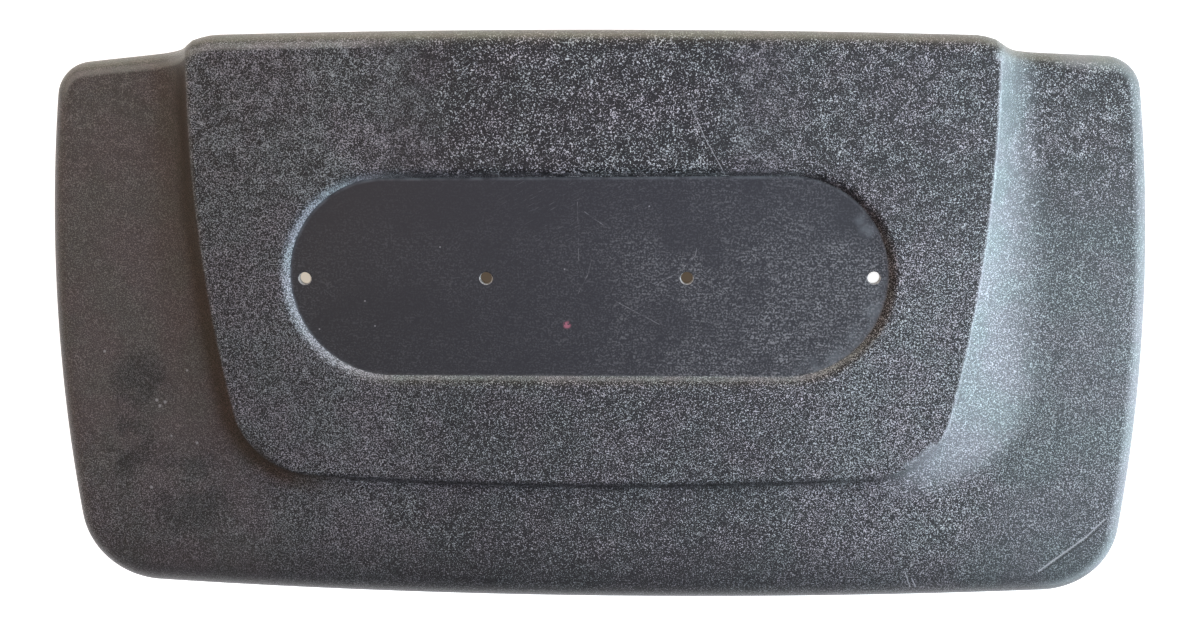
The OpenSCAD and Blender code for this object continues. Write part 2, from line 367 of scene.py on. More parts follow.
    def panel_half(self, start_y: float) -> Points:
        """Panel's crisp edge on one side, point for point with the outline of that side.

        Args:
            start_y: Y of its first point, at the rear.

        Returns:
            Rows of x, y and the outward normal's x and y.
        """
        corner = self.panel_corner
        front = circles_meet(
            self.panel_side_c, self.panel_side_r - corner, self.panel_front_c, self.panel_front_r - corner
        )
        a_start = math.degrees(math.asin((start_y - self.panel_wide_y) / self.panel_side_r))
        b_side, b_front = angle_of(front - self.panel_side_c), angle_of(front - self.panel_front_c)
        side_steps = self.fine.rear_corner + self.fine.side
        return np.vstack([
            arc(self.panel_side_c, self.panel_side_r, a_start, b_side, side_steps),
            arc(front, corner, b_side, b_front, self.fine.corner)[1:],
            arc(self.panel_front_c, self.panel_front_r, b_front, -90.0, self.fine.front)[1:],
        ])

    def off_side(self, p: Points) -> Points:
        """Distance outside the circle of the panel's side."""
        leaned = np.column_stack([np.abs(p[:, 0] - self.lean_at(p[:, 1])), p[:, 1]])
        return np.linalg.norm(leaned - self.panel_side_c, axis=1) - self.panel_side_r

    def off_front(self, p: Points) -> Points:
        """Distance outside the circle of the panel's front edge."""
        return np.linalg.norm(p - self.panel_front_c, axis=1) - self.panel_front_r

    def off_panel(self, p: Points) -> Points:
        """Distance outside the panel's edge, with its front corners rounded.

        Args:
            p: Points in plan.

        Returns:
            A distance for each point, negative inside.
        """
        a, b = self.off_side(p) + self.panel_corner, self.off_front(p) + self.panel_corner
        outside = np.hypot(np.maximum(a, 0.0), np.maximum(b, 0.0))
        return np.minimum(np.maximum(a, b), 0.0) + outside - self.panel_corner

    def panel_z(self, p: Points) -> Points:
        """Height of the panel's plane with its crown."""
        rise = (p[:, 1] + self.panel_front) * math.tan(math.radians(self.panel_tilt))
        return self.panel_front_z + rise - self.panel_crown * (p[:, 0] / self.panel_half_w) ** 2

    def base_z(self, p: Points) -> Points:
        """Height of the wings and apron."""
        rise = p[:, 1] * math.tan(math.radians(self.wing_tilt))
        return self.wing_z + rise - self.wing_fall * (p[:, 0] / self.half_w) ** 2

    def flank_run(self, p: Points) -> Points:
        """Width of the flank beside a point: wide at the corners, narrow in front.

        Args:
            p: Points in plan.

        Returns:
            A width for each point.
        """
        a = np.maximum(0.0, self.off_side(p) + self.flank_blend)
        b = np.maximum(0.0, self.off_front(p) + self.flank_blend)
        t = np.clip((self.panel_wide_y - p[:, 1]) / (self.panel_wide_y + self.panel_front), 0.0, 1.0)
        beside = lerp(self.flank_rear, self.flank_corner, t)
        return lerp(beside, self.flank_front, ease(b / (a + b + self.flank_guard)))

    def top_z(self, p: Points) -> Points:
        """Height of the outer surface, before its outer edges are rounded.

        Args:
            p: Points in plan.

        Returns:
            A height for each point.
        """
        d, run = self.off_panel(p), self.flank_run(p)
        drop = self.panel_z(p) - self.base_z(p)

        def fallen(distance: Points) -> Points:
            """Share of the drop that the hollow flank has fallen by."""
            return drop * (1.0 - (1.0 - np.clip(distance / run, 0.0, 1.0)) ** self.flank_hollow)

        eased = fallen(self.crisp) * (np.clip(d + self.crisp, 0.0, None) / (2 * self.crisp)) ** 2
        return self.panel_z(p) - np.where(d < self.crisp, eased, fallen(d))

    def slope_factor(self, p: Points) -> Points:
        """Length of a sloping step of the surface over its length in plan.

        Args:
            p: Points in plan.

        Returns:
            A factor for each point.
        """
        h = self.slope_step
        gx = (self.top_z(p + [h, 0.0]) - self.top_z(p - [h, 0.0])) / (2 * h)
        gy = (self.top_z(p + [0.0, h]) - self.top_z(p - [0.0, h])) / (2 * h)
        return np.sqrt(1.0 + gx * gx + gy * gy)

    def round_at(self, outline: Points) -> Points:
        """Radius of the outer rounding, which grows from the sides to the front."""
        return lerp(self.round_side, self.round_front, np.maximum(0.0, -outline[:, 3]) ** 2)


@dataclass
class Plan:
    """Points in plan on which both skins of the moulding are laid."""

    form: CoverForm

    def __post_init__(self) -> None:
        """Sets out the outline, the panel's edge and the rows between them."""
        form, fine = self.form, self.form.fine
        wing_l, wing_r = mirrored(form.wing_edge(LEFT)), form.wing_edge(RIGHT)
        right = form.outline_half(RIGHT)[::-1]
        outline = np.vstack([mirrored(form.outline_half(LEFT)), right[1:]])
        crease_l, crease_r = inset(wing_l[:1], form.round_side)[0], inset(wing_r[:1], form.round_side)[0]
        edge = np.vstack([
            form.panel_half(crease_l[1])[:, :2] * [-1.0, 1.0],
            form.panel_half(crease_r[1])[::-1][1:, :2],
        ])
        edge[:, 0] += form.lean_at(edge[:, 1])
        self.along, self.rows = len(outline), fine.across + 1

        x = np.linspace(wing_r[0, 0], wing_l[0, 0], fine.rear + 2)[1:-1]
        rear_l, rear_r = mirrored(form.rear_points(LEFT, -x)), form.rear_points(RIGHT, x)
        rear = np.where(across_rows(x < 0.0), rear_l, rear_r)
        self.rear = inset(rear, form.round_side)
        self.border = np.vstack([outline, wing_r[::-1][1:], rear, wing_l[:-1]])

        share = (np.arange(self.rows) / (self.rows - 1)) ** form.bunching
        rim_line = inset(outline, form.round_at(outline))
        self.band = lerp(edge[:, None, :], rim_line[:, None, :], share[None, :, None])
        self.band[0] = inset(wing_l, form.round_at(wing_l))
        self.band[-1] = inset(wing_r, form.round_at(wing_r))
        self.panel_ring = np.vstack([self.band[:, 0], self.rear])

    def border_number(self, s: int, t: int) -> int:
        """Place of a band point on the border, or -1 for one that is not on it.

        Args:
            s: Number of the point along the band.
            t: Number of its row.

        Returns:
            The place.
        """
        last = self.rows - 1
        if t == last:
            return s
        if s == self.along - 1:
            return s + last - t
        if s == 0:
            return self.along + last + len(self.rear) + t
        return -1


@dataclass
class Seat:
    """Sunk, round-ended seat with its row of pin holes, in the plane of the panel at its middle."""

    form: CoverForm
    centre: Vector
    tilt: float
    pins_x: list[float]
    pin_r: float
    length: float = 0.2685
    width: float = 0.0906
    depth: float = 0.005
    lean: float = 0.0016
    lip: float = 0.001
    lip_reach: float = 0.0026
    floor_fillet: float = 0.0009
    pan_reach: float = 0.0013
    flat_margin: float = 0.0004
    pin_guard: float = 0.0008
    pin_break: float = 0.0005
    pan_top: float = 0.7

    def __post_init__(self) -> None:
        """Works out the straight half length, the floor's radius and where the lip ends."""
        self.half_len = (self.length - self.width) / 2
        self.floor_r = self.width / 2
        crown = self.form.panel_crown * (self.length / 2 / self.form.panel_half_w) ** 2
        self.lip_height = -self.lip - crown

    @classmethod
    def from_record(cls, form: CoverForm, mounts: list[dict]) -> "Seat":
        """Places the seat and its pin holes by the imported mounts.

        Args:
            form: Form of the moulding round the seat.
            mounts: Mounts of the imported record.

        Returns:
            The seat.
        """
        floor = next(m for m in mounts if m["name"] == "seat_floor")
        pins = [m for m in mounts if m["name"].startswith("pin_hole")]
        up = Vector(floor["axis"])
        return cls(
            form=form,
            centre=Vector(floor["pos_m"]) + up * cls.depth,
            tilt=math.degrees(math.atan2(-up.y, up.z)),
            pins_x=[m["pos_m"][0] for m in pins],
            pin_r=pins[0]["dims"]["r_mm"] / 1000,
        )

    def in_place(self, x: Points, across: Points, height: Points) -> Points:
        """Takes points from the seat's own plane to the cover's frame.

        Args:
            x: Distances along the seat.
            across: Distances across it.
            height: Heights over the panel's plane.

        Returns:
            The points.
        """
        c, s = math.cos(math.radians(self.tilt)), math.sin(math.radians(self.tilt))
        height = np.broadcast_to(height, np.shape(x))
        return np.column_stack([
            x + self.centre.x,
            self.centre.y + across * c - height * s,
            self.centre.z + across * s + height * c,
        ])

    def height_of(self, point: Vector) -> float:
        """Height of a point over the panel's plane at the seat."""
        return (point - self.centre).dot(self.up)

    @property
    def up(self) -> Vector:
        """Direction square to the seat's floor."""
        return Vector((0.0, -math.sin(math.radians(self.tilt)), math.cos(math.radians(self.tilt))))

    def aim(self, ring: Points) -> None:
        """Finds, for each point of the panel's ring, the nearest point and direction of the middle line.

        Args:
            ring: Ring round the panel.
        """
        across = (ring[:, 1] - self.centre.y) / math.cos(math.radians(self.tilt))
        self.spine_x = np.clip(ring[:, 0], -self.half_len, self.half_len)
        out = np.column_stack([ring[:, 0] - self.spine_x, across])
        self.out = out / np.linalg.norm(out, axis=1)[:, None]

    def ring(self, radius: Points, height: Points) -> Points:
        """Round-ended ring at a radius from the middle line and a height over the panel's plane."""
        return self.in_place(self.spine_x + self.out[:, 0] * radius, self.out[:, 1] * radius, height)

    def sag(self, radius: float) -> Points:
        """Fall of the crowned panel below its plane, along a ring."""
        x = self.spine_x + self.out[:, 0] * radius
        return -self.form.panel_crown * (x / self.form.panel_half_w) ** 2

    def profile(
        self, foot_r: float, bottom: float, top: Points, wall_height: float, bends: Range
    ) -> tuple[Points, list[Points]]:
        """Rows of a skin from the panel down the seat's wall to its floor.

        Args:
            foot_r: Radius at which the wall meets the floor.
            bottom: Height of the floor over the panel's plane.
            top: Height of the panel's surface along the wall.
            wall_height: Height over which the wall leans out by its lean.
            bends: How far the rounded head of the wall reaches, and its rounded foot.

        Returns:
            The row on the panel at which the head starts, and the rows below it.
        """
        fine, (reach, fillet) = self.form.fine, bends
        size = math.hypot(self.lean, wall_height)
        down_r, down_h = -self.lean / size, -wall_height / size
        head_r = foot_r + self.lean * (top - bottom) / wall_height
        start = self.ring(head_r + reach, top)
        head_end = self.ring(head_r + down_r * reach, top + down_h * reach)
        foot = self.ring(foot_r - down_r * fillet, bottom - down_h * fillet)
        floor = self.ring(foot_r - fillet, bottom)
        return start, [
            *bent(start, self.ring(head_r, top), head_end, fine.seat_edge),
            *between(head_end, foot, fine.seat_wall),
            *bent(foot, self.ring(foot_r, bottom), floor, fine.seat_edge),
            self.ring(foot_r - fillet - self.flat_margin, bottom),
        ]

    def outer_profile(self) -> tuple[Points, list[Points]]:
        """Rows of the outer skin, from the lip down to the floor.

        Returns:
            The row on the panel at which the lip starts, and the rows below it.
        """
        top, wall_height = self.sag(self.floor_r + self.lean), self.depth + self.lip_height
        bends = (self.lip_reach, self.floor_fillet)
        return self.profile(self.floor_r, -self.depth, top, wall_height, bends)

    def inner_profile(self) -> tuple[Points, list[Points]]:
        """Rows of the inner skin, from the panel's underside down the pan to its bottom.

        Returns:
            The row on the underside at which the pan starts, and the rows below it.
        """
        wall = self.form.wall
        foot_r, bottom = self.floor_r + wall, -self.depth - wall
        top, wall_height = self.sag(foot_r) - wall, -wall * self.pan_top - bottom
        return self.profile(foot_r, bottom, top, wall_height, (self.pan_reach, self.pan_reach))

    def pin_rings(self, radius: float, height: float) -> Points:
        """Rings round all the pin holes, one after the other.

        Args:
            radius: Radius of the rings.
            height: Their height over the panel's plane.

        Returns:
            The points of the rings.
        """
        turn = np.radians(np.arange(self.form.fine.pin) * 360.0 / self.form.fine.pin)
        x = np.concatenate([pin + radius * np.cos(turn) for pin in self.pins_x])
        return self.in_place(x, np.tile(radius * np.sin(turn), len(self.pins_x)), height)

    def pin_profile(self) -> list[Points]:
        """Rows of the pin holes' walls, from the seat's floor to the underside of its pan.

        Returns:
            The rows.
        """
        top, bottom, r, cut = -self.depth, -self.depth - self.form.wall, self.pin_r, self.pin_break
        steps = self.form.fine.broken_edge
        flat, below = self.pin_rings(r + cut, top), self.pin_rings(r, top - cut)
        above, last = self.pin_rings(r, bottom + cut), self.pin_rings(r + cut, bottom)
        return [
            flat,
            *bent(flat, self.pin_rings(r, top), below, steps),
            above,
            *bent(above, self.pin_rings(r, bottom), last, steps),
            self.pin_rings(r + self.pin_guard, bottom),
        ]


class Loop(Enum):
    """Closed loops of a skin that are drawn out, by the layer that numbers their points."""

    BORDER = "border_number"
    PANEL = "panel_number"
    PIN = "pin_number"


class Surface(Enum):
    """Surfaces of the moulding, by their material slot."""

    GRAINED = 0
    SEAT = 1
    UNDERSIDE = 2
    PIN = 3


def deselect_all() -> None:
    """Leaves object mode with nothing selected."""
    if bpy.context.object and bpy.context.object.mode != "OBJECT":
        bpy.ops.object.mode_set(mode="OBJECT")
    bpy.ops.object.select_all(action="DESELECT")


def only(piece: bpy.types.Object) -> None:
    """Makes a piece the one selected and active object.

    Args:
        piece: Object to select.
    """
    deselect_all()
    piece.select_set(True)
    bpy.context.view_layer.objects.active = piece


def places_of(piece: bpy.types.Object) -> Points:
    """Places of a mesh's points.

    Args:
        piece: Mesh object in object mode.

    Returns:
        Rows of x, y and z.
    """
    flat = np.empty(len(piece.data.vertices) * 3)
    piece.data.vertices.foreach_get("co", flat)
    return flat.reshape(-1, 3)


def mark_points(piece: bpy.types.Object, name: str, kind: str, values: Points) -> None:
    """Gives a mesh a named attribute with one value a point."""
    layer = piece.data.attributes.new(name, kind, "POINT")
    layer.data.foreach_set("value", values)


def loop_layers(bm: bmesh.types.BMesh) -> dict[Loop, bmesh.types.BMLayerItem]:
    """Layers that number the points of an edited skin's loops."""
    return {loop: bm.verts.layers.int[loop.value] for loop in Loop}


def select_open_loop(piece: bpy.types.Object, loop: Loop) -> None:
    """Selects the numbered loop along which the faces of an edited piece end.

    Args:
        piece: Mesh object in edit mode.
        loop: Loop to select.
    """
    bpy.ops.mesh.select_all(action="DESELECT")
    bm = bmesh.from_edit_mesh(piece.data)
    layer = bm.verts.layers.int[loop.value]
    for edge in bm.edges:
        if len(edge.link_faces) < 2 and all(v[layer] >= 0 for v in edge.verts):
            edge.select = True
    bmesh.update_edit_mesh(piece.data)


def draw_out(piece: bpy.types.Object, loop: Loop, rows: Sequence[Points]) -> None:
    """Extrudes a loop once for each row, and lays the new edge on the row.

    Args:
        piece: Mesh object in edit mode.
        loop: Loop that is extruded.
        rows: Places of the loop's points, one array for each extrusion.
    """
    select_open_loop(piece, loop)
    for row in rows:
        bpy.ops.mesh.extrude_region_move()
        bm = bmesh.from_edit_mesh(piece.data)
        layers = loop_layers(bm)
        for vertex in bm.verts:
            if vertex.select:
                vertex.co = row[vertex[layers[loop]]]
                for other, layer in layers.items():
                    if other is not loop:
                        vertex[layer] = -1
        bmesh.update_edit_mesh(piece.data)


@dataclass
class Skin:
    """One skin of the moulding: the outer one, or the inner one set in by the wall."""

    plan: Plan
    seat: Seat
    off: float
    rim_break: float = 0.0005
    near_rows: tuple[float, ...] = (0.25, 0.5, 0.75, 1.0, 1.5)
    flat_tolerance: float = 1e-5

    @property
    def inner(self) -> bool:
        """Whether this is the inner skin."""
        return self.off > 0.0

    def on_top(self, p: Points) -> Points:
        """Points of the skin over points in plan.

        Args:
            p: Points in plan.

        Returns:
            The points.
        """
        form = self.plan.form
        drop = self.off * form.slope_factor(p) if self.inner else 0.0
        return np.column_stack([p, form.top_z(p) - drop])

    def on_rounding(self, angle: float) -> Points:
        """Row of the rounding over the border: 90 degrees on top of it and 0 at its side.

        Args:
            angle: Angle of the row.

        Returns:
            The row.
        """
        form, border = self.plan.form, self.plan.border
        radius = form.round_at(border) - self.off
        a = math.radians(angle)
        row = self.on_top(inset(border, self.off + radius * (1.0 - math.cos(a))))
        row[:, 2] -= radius * (1.0 - math.sin(a))
        return row

    def foot(self, off: float) -> Points:
        """Row of the skirt's foot in the plane of the rim, for a skin that is set in."""
        border = self.plan.border
        return np.column_stack([inset(border, off - self.plan.form.flare), np.zeros(len(border))])

    def above_foot(self, off: float, height: float) -> Points:
        """Row of the skirt a little above its foot.

        Args:
            off: How far the skin is set in.
            height: Height over the rim.

        Returns:
            The row.
        """
        side = Skin(self.plan, self.seat, off).on_rounding(0.0)
        foot = self.foot(off)
        return lerp(foot, side, across_rows(height / side[:, 2]))

    def border_rows(self) -> list[Points]:
        """Rows from the border over the rounding and down the skirt to its foot.

        Returns:
            The rows.
        """
        fine = self.plan.form.fine
        rows = [self.on_rounding(90.0 * k / fine.rounding) for k in range(fine.rounding - 1, -1, -1)]
        side, low = rows[-1], self.above_foot(self.off, self.rim_break)
        return rows + between(side, low, fine.skirt)

    def rim_rows(self) -> list[Points]:
        """Rows of the flat rim with its two broken edges, from the outer skirt to the inner one.

        Returns:
            The rows.
        """
        wall, cut, steps = self.plan.form.wall, self.rim_break, self.plan.form.fine.broken_edge
        outer, inner = self.foot(0.0), self.foot(wall)
        out_low, in_low = self.above_foot(0.0, cut), self.above_foot(wall, cut)
        first, last = lerp(outer, inner, cut / wall), lerp(inner, outer, cut / wall)
        return [*bent(out_low, outer, first, steps), last, *bent(last, inner, in_low, steps)]

    def panel_rows(self) -> list[Points]:
        """Rows from the panel's edge to the seat, and down into it or round its pan.

        Returns:
            The rows.
        """
        form, ring = self.plan.form, self.plan.panel_ring
        start, rows = self.seat.inner_profile() if self.inner else self.seat.outer_profile()
        goal = start[:, :2]
        length = np.linalg.norm(goal - ring, axis=1)
        near = [across_rows(form.crisp * k / length) for k in self.near_rows]
        far = between(near[-1], np.ones_like(near[-1]), form.fine.panel)
        return [self.on_top(lerp(ring, goal, share)) for share in near + far] + rows

    def build(self, name: str) -> bpy.types.Object:
        """Models the skin.

        Args:
            name: Name of the new object.

        Returns:
            The skin, in object mode.
        """
        piece = self.lay_band(name)
        bpy.ops.object.mode_set(mode="EDIT")
        bpy.ops.mesh.select_mode(type="EDGE")
        self.close_rear(piece)
        draw_out(piece, Loop.BORDER, self.border_rows() + ([] if self.inner else self.rim_rows()))
        draw_out(piece, Loop.PANEL, self.panel_rows())
        self.fill_floor(piece)
        if not self.inner:
            draw_out(piece, Loop.PIN, self.seat.pin_profile())
        bpy.ops.object.mode_set(mode="OBJECT")
        return piece

    def lay_band(self, name: str) -> bpy.types.Object:
        """Lays a grid between the panel's edge and the rounding, and numbers its outer points.

        Args:
            name: Name of the new object.

        Returns:
            The band, in object mode.
        """
        plan = self.plan
        deselect_all()
        bpy.ops.mesh.primitive_grid_add(x_subdivisions=plan.along - 1, y_subdivisions=plan.rows - 1, size=2)
        piece = bpy.context.object
        piece.name = name
        share = (places_of(piece)[:, :2] + 1.0) / 2
        s, t = np.rint(share * [plan.along - 1, plan.rows - 1]).astype(int).T
        piece.data.vertices.foreach_set("co", self.on_top(plan.band[s, t]).ravel())
        numbers = {
            Loop.BORDER: [plan.border_number(a, b) for a, b in zip(s, t)],
            Loop.PANEL: [a if b == 0 else -1 for a, b in zip(s, t)],
            Loop.PIN: [-1] * len(s),
        }
        for loop, values in numbers.items():
            mark_points(piece, loop.value, "INT", np.array(values, dtype=np.int32))
        return piece

    def close_rear(self, piece: bpy.types.Object) -> None:
        """Joins the ends of the band along the panel's rear edge.

        Args:
            piece: Skin in edit mode.
        """
        plan = self.plan
        first = plan.along + plan.rows - 2
        last = first + len(plan.rear) + 1
        bpy.ops.mesh.select_all(action="DESELECT")
        bpy.ops.mesh.select_mode(type="VERT")
        bm = bmesh.from_edit_mesh(piece.data)
        layer = bm.verts.layers.int[Loop.BORDER.value]
        ends = {v[layer]: v for v in bm.verts if v[layer] in (first, last)}
        for vertex in ends.values():
            vertex.select = True
        bpy.ops.mesh.edge_face_add()
        bpy.ops.mesh.select_mode(type="EDGE")
        bpy.ops.mesh.subdivide(number_cuts=len(plan.rear))
        bm = bmesh.from_edit_mesh(piece.data)
        layers = loop_layers(bm)
        border = layers[Loop.BORDER]
        fresh = [v for v in bm.verts if v.select and not (v[border] in (first, last) and v.link_faces)]
        fresh.sort(key=lambda v: -v.co.x)
        for k, (vertex, place) in enumerate(zip(fresh, self.on_top(plan.rear))):
            vertex.co = place
            vertex[border] = first + 1 + k
            vertex[layers[Loop.PANEL]] = plan.along + k
        bmesh.update_edit_mesh(piece.data)

    def fill_floor(self, piece: bpy.types.Object) -> None:
        """Closes the seat's floor, or the bottom of its pan, round the pin holes.

        Args:
            piece: Skin in edit mode.
        """
        height = -self.seat.depth - self.off
        self.lay_pin_circles(piece, height)
        self.join_along_middle(piece, height)
        for half in (1, -1):
            self.select_half(piece, height, half)
            bpy.ops.mesh.edge_face_add()
            bpy.ops.mesh.quads_convert_to_tris(quad_method="BEAUTY", ngon_method="BEAUTY")

    def lay_pin_circles(self, piece: bpy.types.Object, height: float) -> None:
        """Adds a numbered circle round each pin hole, at a height over the panel's plane.

        Args:
            piece: Skin in edit mode.
            height: Height of the circles.
        """
        seat, count = self.seat, self.plan.form.fine.pin
        places = seat.pin_rings(seat.pin_r + seat.pin_guard, height)
        for number, x in enumerate(seat.pins_x):
            bpy.ops.mesh.primitive_circle_add(
                vertices=count,
                radius=seat.pin_r + seat.pin_guard,
                location=seat.in_place(np.array([x]), np.zeros(1), height)[0],
                rotation=(math.radians(seat.tilt), 0.0, 0.0),
            )
            bm = bmesh.from_edit_mesh(piece.data)
            layers = loop_layers(bm)
            for k, vertex in enumerate(v for v in bm.verts if v.select):
                vertex[layers[Loop.BORDER]] = vertex[layers[Loop.PANEL]] = -1
                vertex[layers[Loop.PIN]] = number * count + k
                vertex.co = places[number * count + k]
            bmesh.update_edit_mesh(piece.data)

    def open_edges(self, bm: bmesh.types.BMesh, height: float) -> list[bmesh.types.BMEdge]:
        """Lists the edges at a height over the panel's plane that lack a face.

        Args:
            bm: Mesh of the edited skin.
            height: Height of the edges.

        Returns:
            The edges.
        """
        def flat(edge: bmesh.types.BMEdge) -> bool:
            """Whether an edge lies at the height."""
            return all(abs(self.seat.height_of(v.co) - height) < self.flat_tolerance for v in edge.verts)

        return [edge for edge in bm.edges if len(edge.link_faces) < 2 and flat(edge)]

    def join_along_middle(self, piece: bpy.types.Object, height: float) -> None:
        """Joins the floor's edge and the pin circles by edges along the seat's middle line.

        Args:
            piece: Skin in edit mode.
            height: Height of the floor over the panel's plane.
        """
        seat, count = self.seat, self.plan.form.fine.pin
        bm = bmesh.from_edit_mesh(piece.data)
        pin = bm.verts.layers.int[Loop.PIN.value]
        rim = [v for edge in self.open_edges(bm, height) for v in edge.verts if v[pin] < 0]
        stops = [v for v in bm.verts if v[pin] >= 0 and v[pin] % (count // 2) == 0]
        stops += [min(rim, key=lambda v: v.co.x), max(rim, key=lambda v: v.co.x)]
        stops.sort(key=lambda v: v.co.x)
        pairs = [(a.index, b.index) for a, b in zip(stops[::2], stops[1::2])]
        bpy.ops.mesh.select_mode(type="VERT")
        for pair in pairs:
            bpy.ops.mesh.select_all(action="DESELECT")
            bm = bmesh.from_edit_mesh(piece.data)
            bm.verts.ensure_lookup_table()
            for index in pair:
                bm.verts[index].select = True
            bpy.ops.mesh.edge_face_add()
        bpy.ops.mesh.select_mode(type="EDGE")

    def select_half(self, piece: bpy.types.Object, height: float, half: int) -> None:
        """Selects the edges round one half of the floor.

        Args:
            piece: Skin in edit mode.
            height: Height of the floor over the panel's plane.
            half: 1 for the rear half, and -1 for the front one.
        """
        bpy.ops.mesh.select_all(action="DESELECT")
        bm = bmesh.from_edit_mesh(piece.data)
        middle = self.seat.in_place(np.zeros(1), np.zeros(1), height)[0][1]
        count, pin = self.plan.form.fine.pin, bm.verts.layers.int[Loop.PIN.value]
        for edge in self.open_edges(bm, height):
            low, high = sorted(v[pin] for v in edge.verts)
            joins = high >= 0 and (low < 0 or low // count != high // count)
            if joins or half * (sum(v.co.y for v in edge.verts) / 2 - middle) > 0.0:
                edge.select = True
        bmesh.update_edit_mesh(piece.data)


class Bench:
    """Adds the nodes of one tree and links them."""

    def __init__(self, tree: bpy.types.NodeTree) -> None:
        """Takes the tree to work on."""
        self.tree = tree

    def feed(self, socket: Output, value: object) -> None:
        """Links an output to a socket, or sets the socket to a constant.

        Args:
            socket: Input to feed.
            value: Another node's output, or a constant.
        """
        if isinstance(value, bpy.types.NodeSocket):
            self.tree.links.new(value, socket)
        else:
            socket.default_value = value

    def add(self, kind: str, inputs: dict | None = None, **settings: object) -> bpy.types.Node:
        """Adds a node.

        Args:
            kind: Type of the node.
            inputs: What goes into its inputs: another node's output, which is linked, or a constant.
            **settings: Properties of the node.

        Returns:
            The node.
        """
        node = self.tree.nodes.new(kind)
        for name, value in settings.items():
            setattr(node, name, value)
        for key, value in (inputs or {}).items():
            self.feed(node.inputs[key], value)
        return node

    def math(self, operation: str, a: object, b: object = 0.0, c: object = 0.0) -> Output:
        """Adds a Math node and returns its output."""
        return self.add("ShaderNodeMath", {0: a, 1: b, 2: c}, operation=operation).outputs[0]

    def product(self, values: Iterable[object]) -> Output:
        """Multiplies several masks."""
        return reduce(partial(self.math, "MULTIPLY"), values)

    def most(self, values: Iterable[object]) -> Output:
        """Takes the highest of several masks."""
        return reduce(partial(self.math, "MAXIMUM"), values)

    def vector(self, operation: str, a: object, b: object = (0.0, 0.0, 0.0)) -> Output:
        """Adds a Vector Math node and returns its output, be it a vector or a value."""
        node = self.add("ShaderNodeVectorMath", {0: a, 1: b}, operation=operation)
        return node.outputs["Value" if operation in ("LENGTH", "DISTANCE", "DOT_PRODUCT") else "Vector"]

    def spread(self, value: object, over: Range, to: Range = (0.0, 1.0), smooth: bool = True) -> Output:
        """Spreads a value from one range over another.

        Args:
            value: Value to spread.
            over: Range that it is clamped to.
            to: What the ends of that range become.
            smooth: Whether the change eases in and out.

        Returns:
            The new value.
        """
        inputs = {"Value": value, "From Min": over[0], "From Max": over[1], "To Min": to[0], "To Max": to[1]}
        way = "SMOOTHSTEP" if smooth else "LINEAR"
        return self.add("ShaderNodeMapRange", inputs, interpolation_type=way).outputs["Result"]

    def noise(self, vector: object, scale: object, detail: float = 2.0, distortion: float = 0.0) -> Output:
        """Adds a Noise Texture and returns its value."""
        inputs = {"Vector": vector, "Scale": scale, "Detail": detail, "Distortion": distortion}
        return self.add("ShaderNodeTexNoise", inputs, noise_dimensions="3D").outputs[0]

    def mixed(self, share: object, a: object, b: object) -> Output:
        """Blends two values."""
        return self.add("ShaderNodeMix", {0: share, 2: a, 3: b}).outputs[0]

    def blend(self, share: object, a: object, b: object, way: str = "MIX") -> Output:
        """Blends two colours.

        Args:
            share: Share of the second.
            a: First colour.
            b: Second colour.
            way: Blend type.

        Returns:
            The blended colour.
        """
        node = self.add("ShaderNodeMix", data_type="RGBA", blend_type=way)
        for number, value in ((0, share), (6, a), (7, b)):
            self.feed(node.inputs[number], value)
        return node.outputs[2]

    def group(self, tree: bpy.types.NodeTree, **inputs: object) -> bpy.types.Node:
        """Adds a node group.

        Args:
            tree: Tree of the group.
            **inputs: What goes into its inputs, by their names in lower case.

        Returns:
            The group's node.
        """
        named = {name.replace("_", " ").capitalize(): value for name, value in inputs.items()}
        return self.add("ShaderNodeGroup", named, node_tree=tree)


class Socket(Enum):
    """Kinds of input that the node groups have."""

    VALUE = "NodeSocketFloat"
    VECTOR = "NodeSocketVector"


def group_tree(name: str, outputs: Sequence[str], **inputs: Socket) -> tuple[Bench, dict, dict]:
    """Starts a shader node group that works on a place, and whose outputs are all masks or heights.

    Args:
        name: Name of the group.
        outputs: Names of its outputs.
        **inputs: Kind of each input after the place, by its name in lower case.

    Returns:
        A bench for its nodes, its inputs as sockets to link from, and its outputs as sockets to link to.
    """
    tree = bpy.data.node_groups.new(name, "ShaderNodeTree")
    named = {key.replace("_", " ").capitalize(): kind for key, kind in inputs.items()}
    kinds = {"Place": Socket.VECTOR} | named
    for key, kind in kinds.items():
        tree.interface.new_socket(key, in_out="INPUT", socket_type=kind.value)
    for key in outputs:
        tree.interface.new_socket(key, in_out="OUTPUT", socket_type=Socket.VALUE.value)
    bench = Bench(tree)
    start, end = bench.add("NodeGroupInput"), bench.add("NodeGroupOutput")
    return bench, {key: start.outputs[key] for key in kinds}, {key: end.inputs[key] for key in outputs}


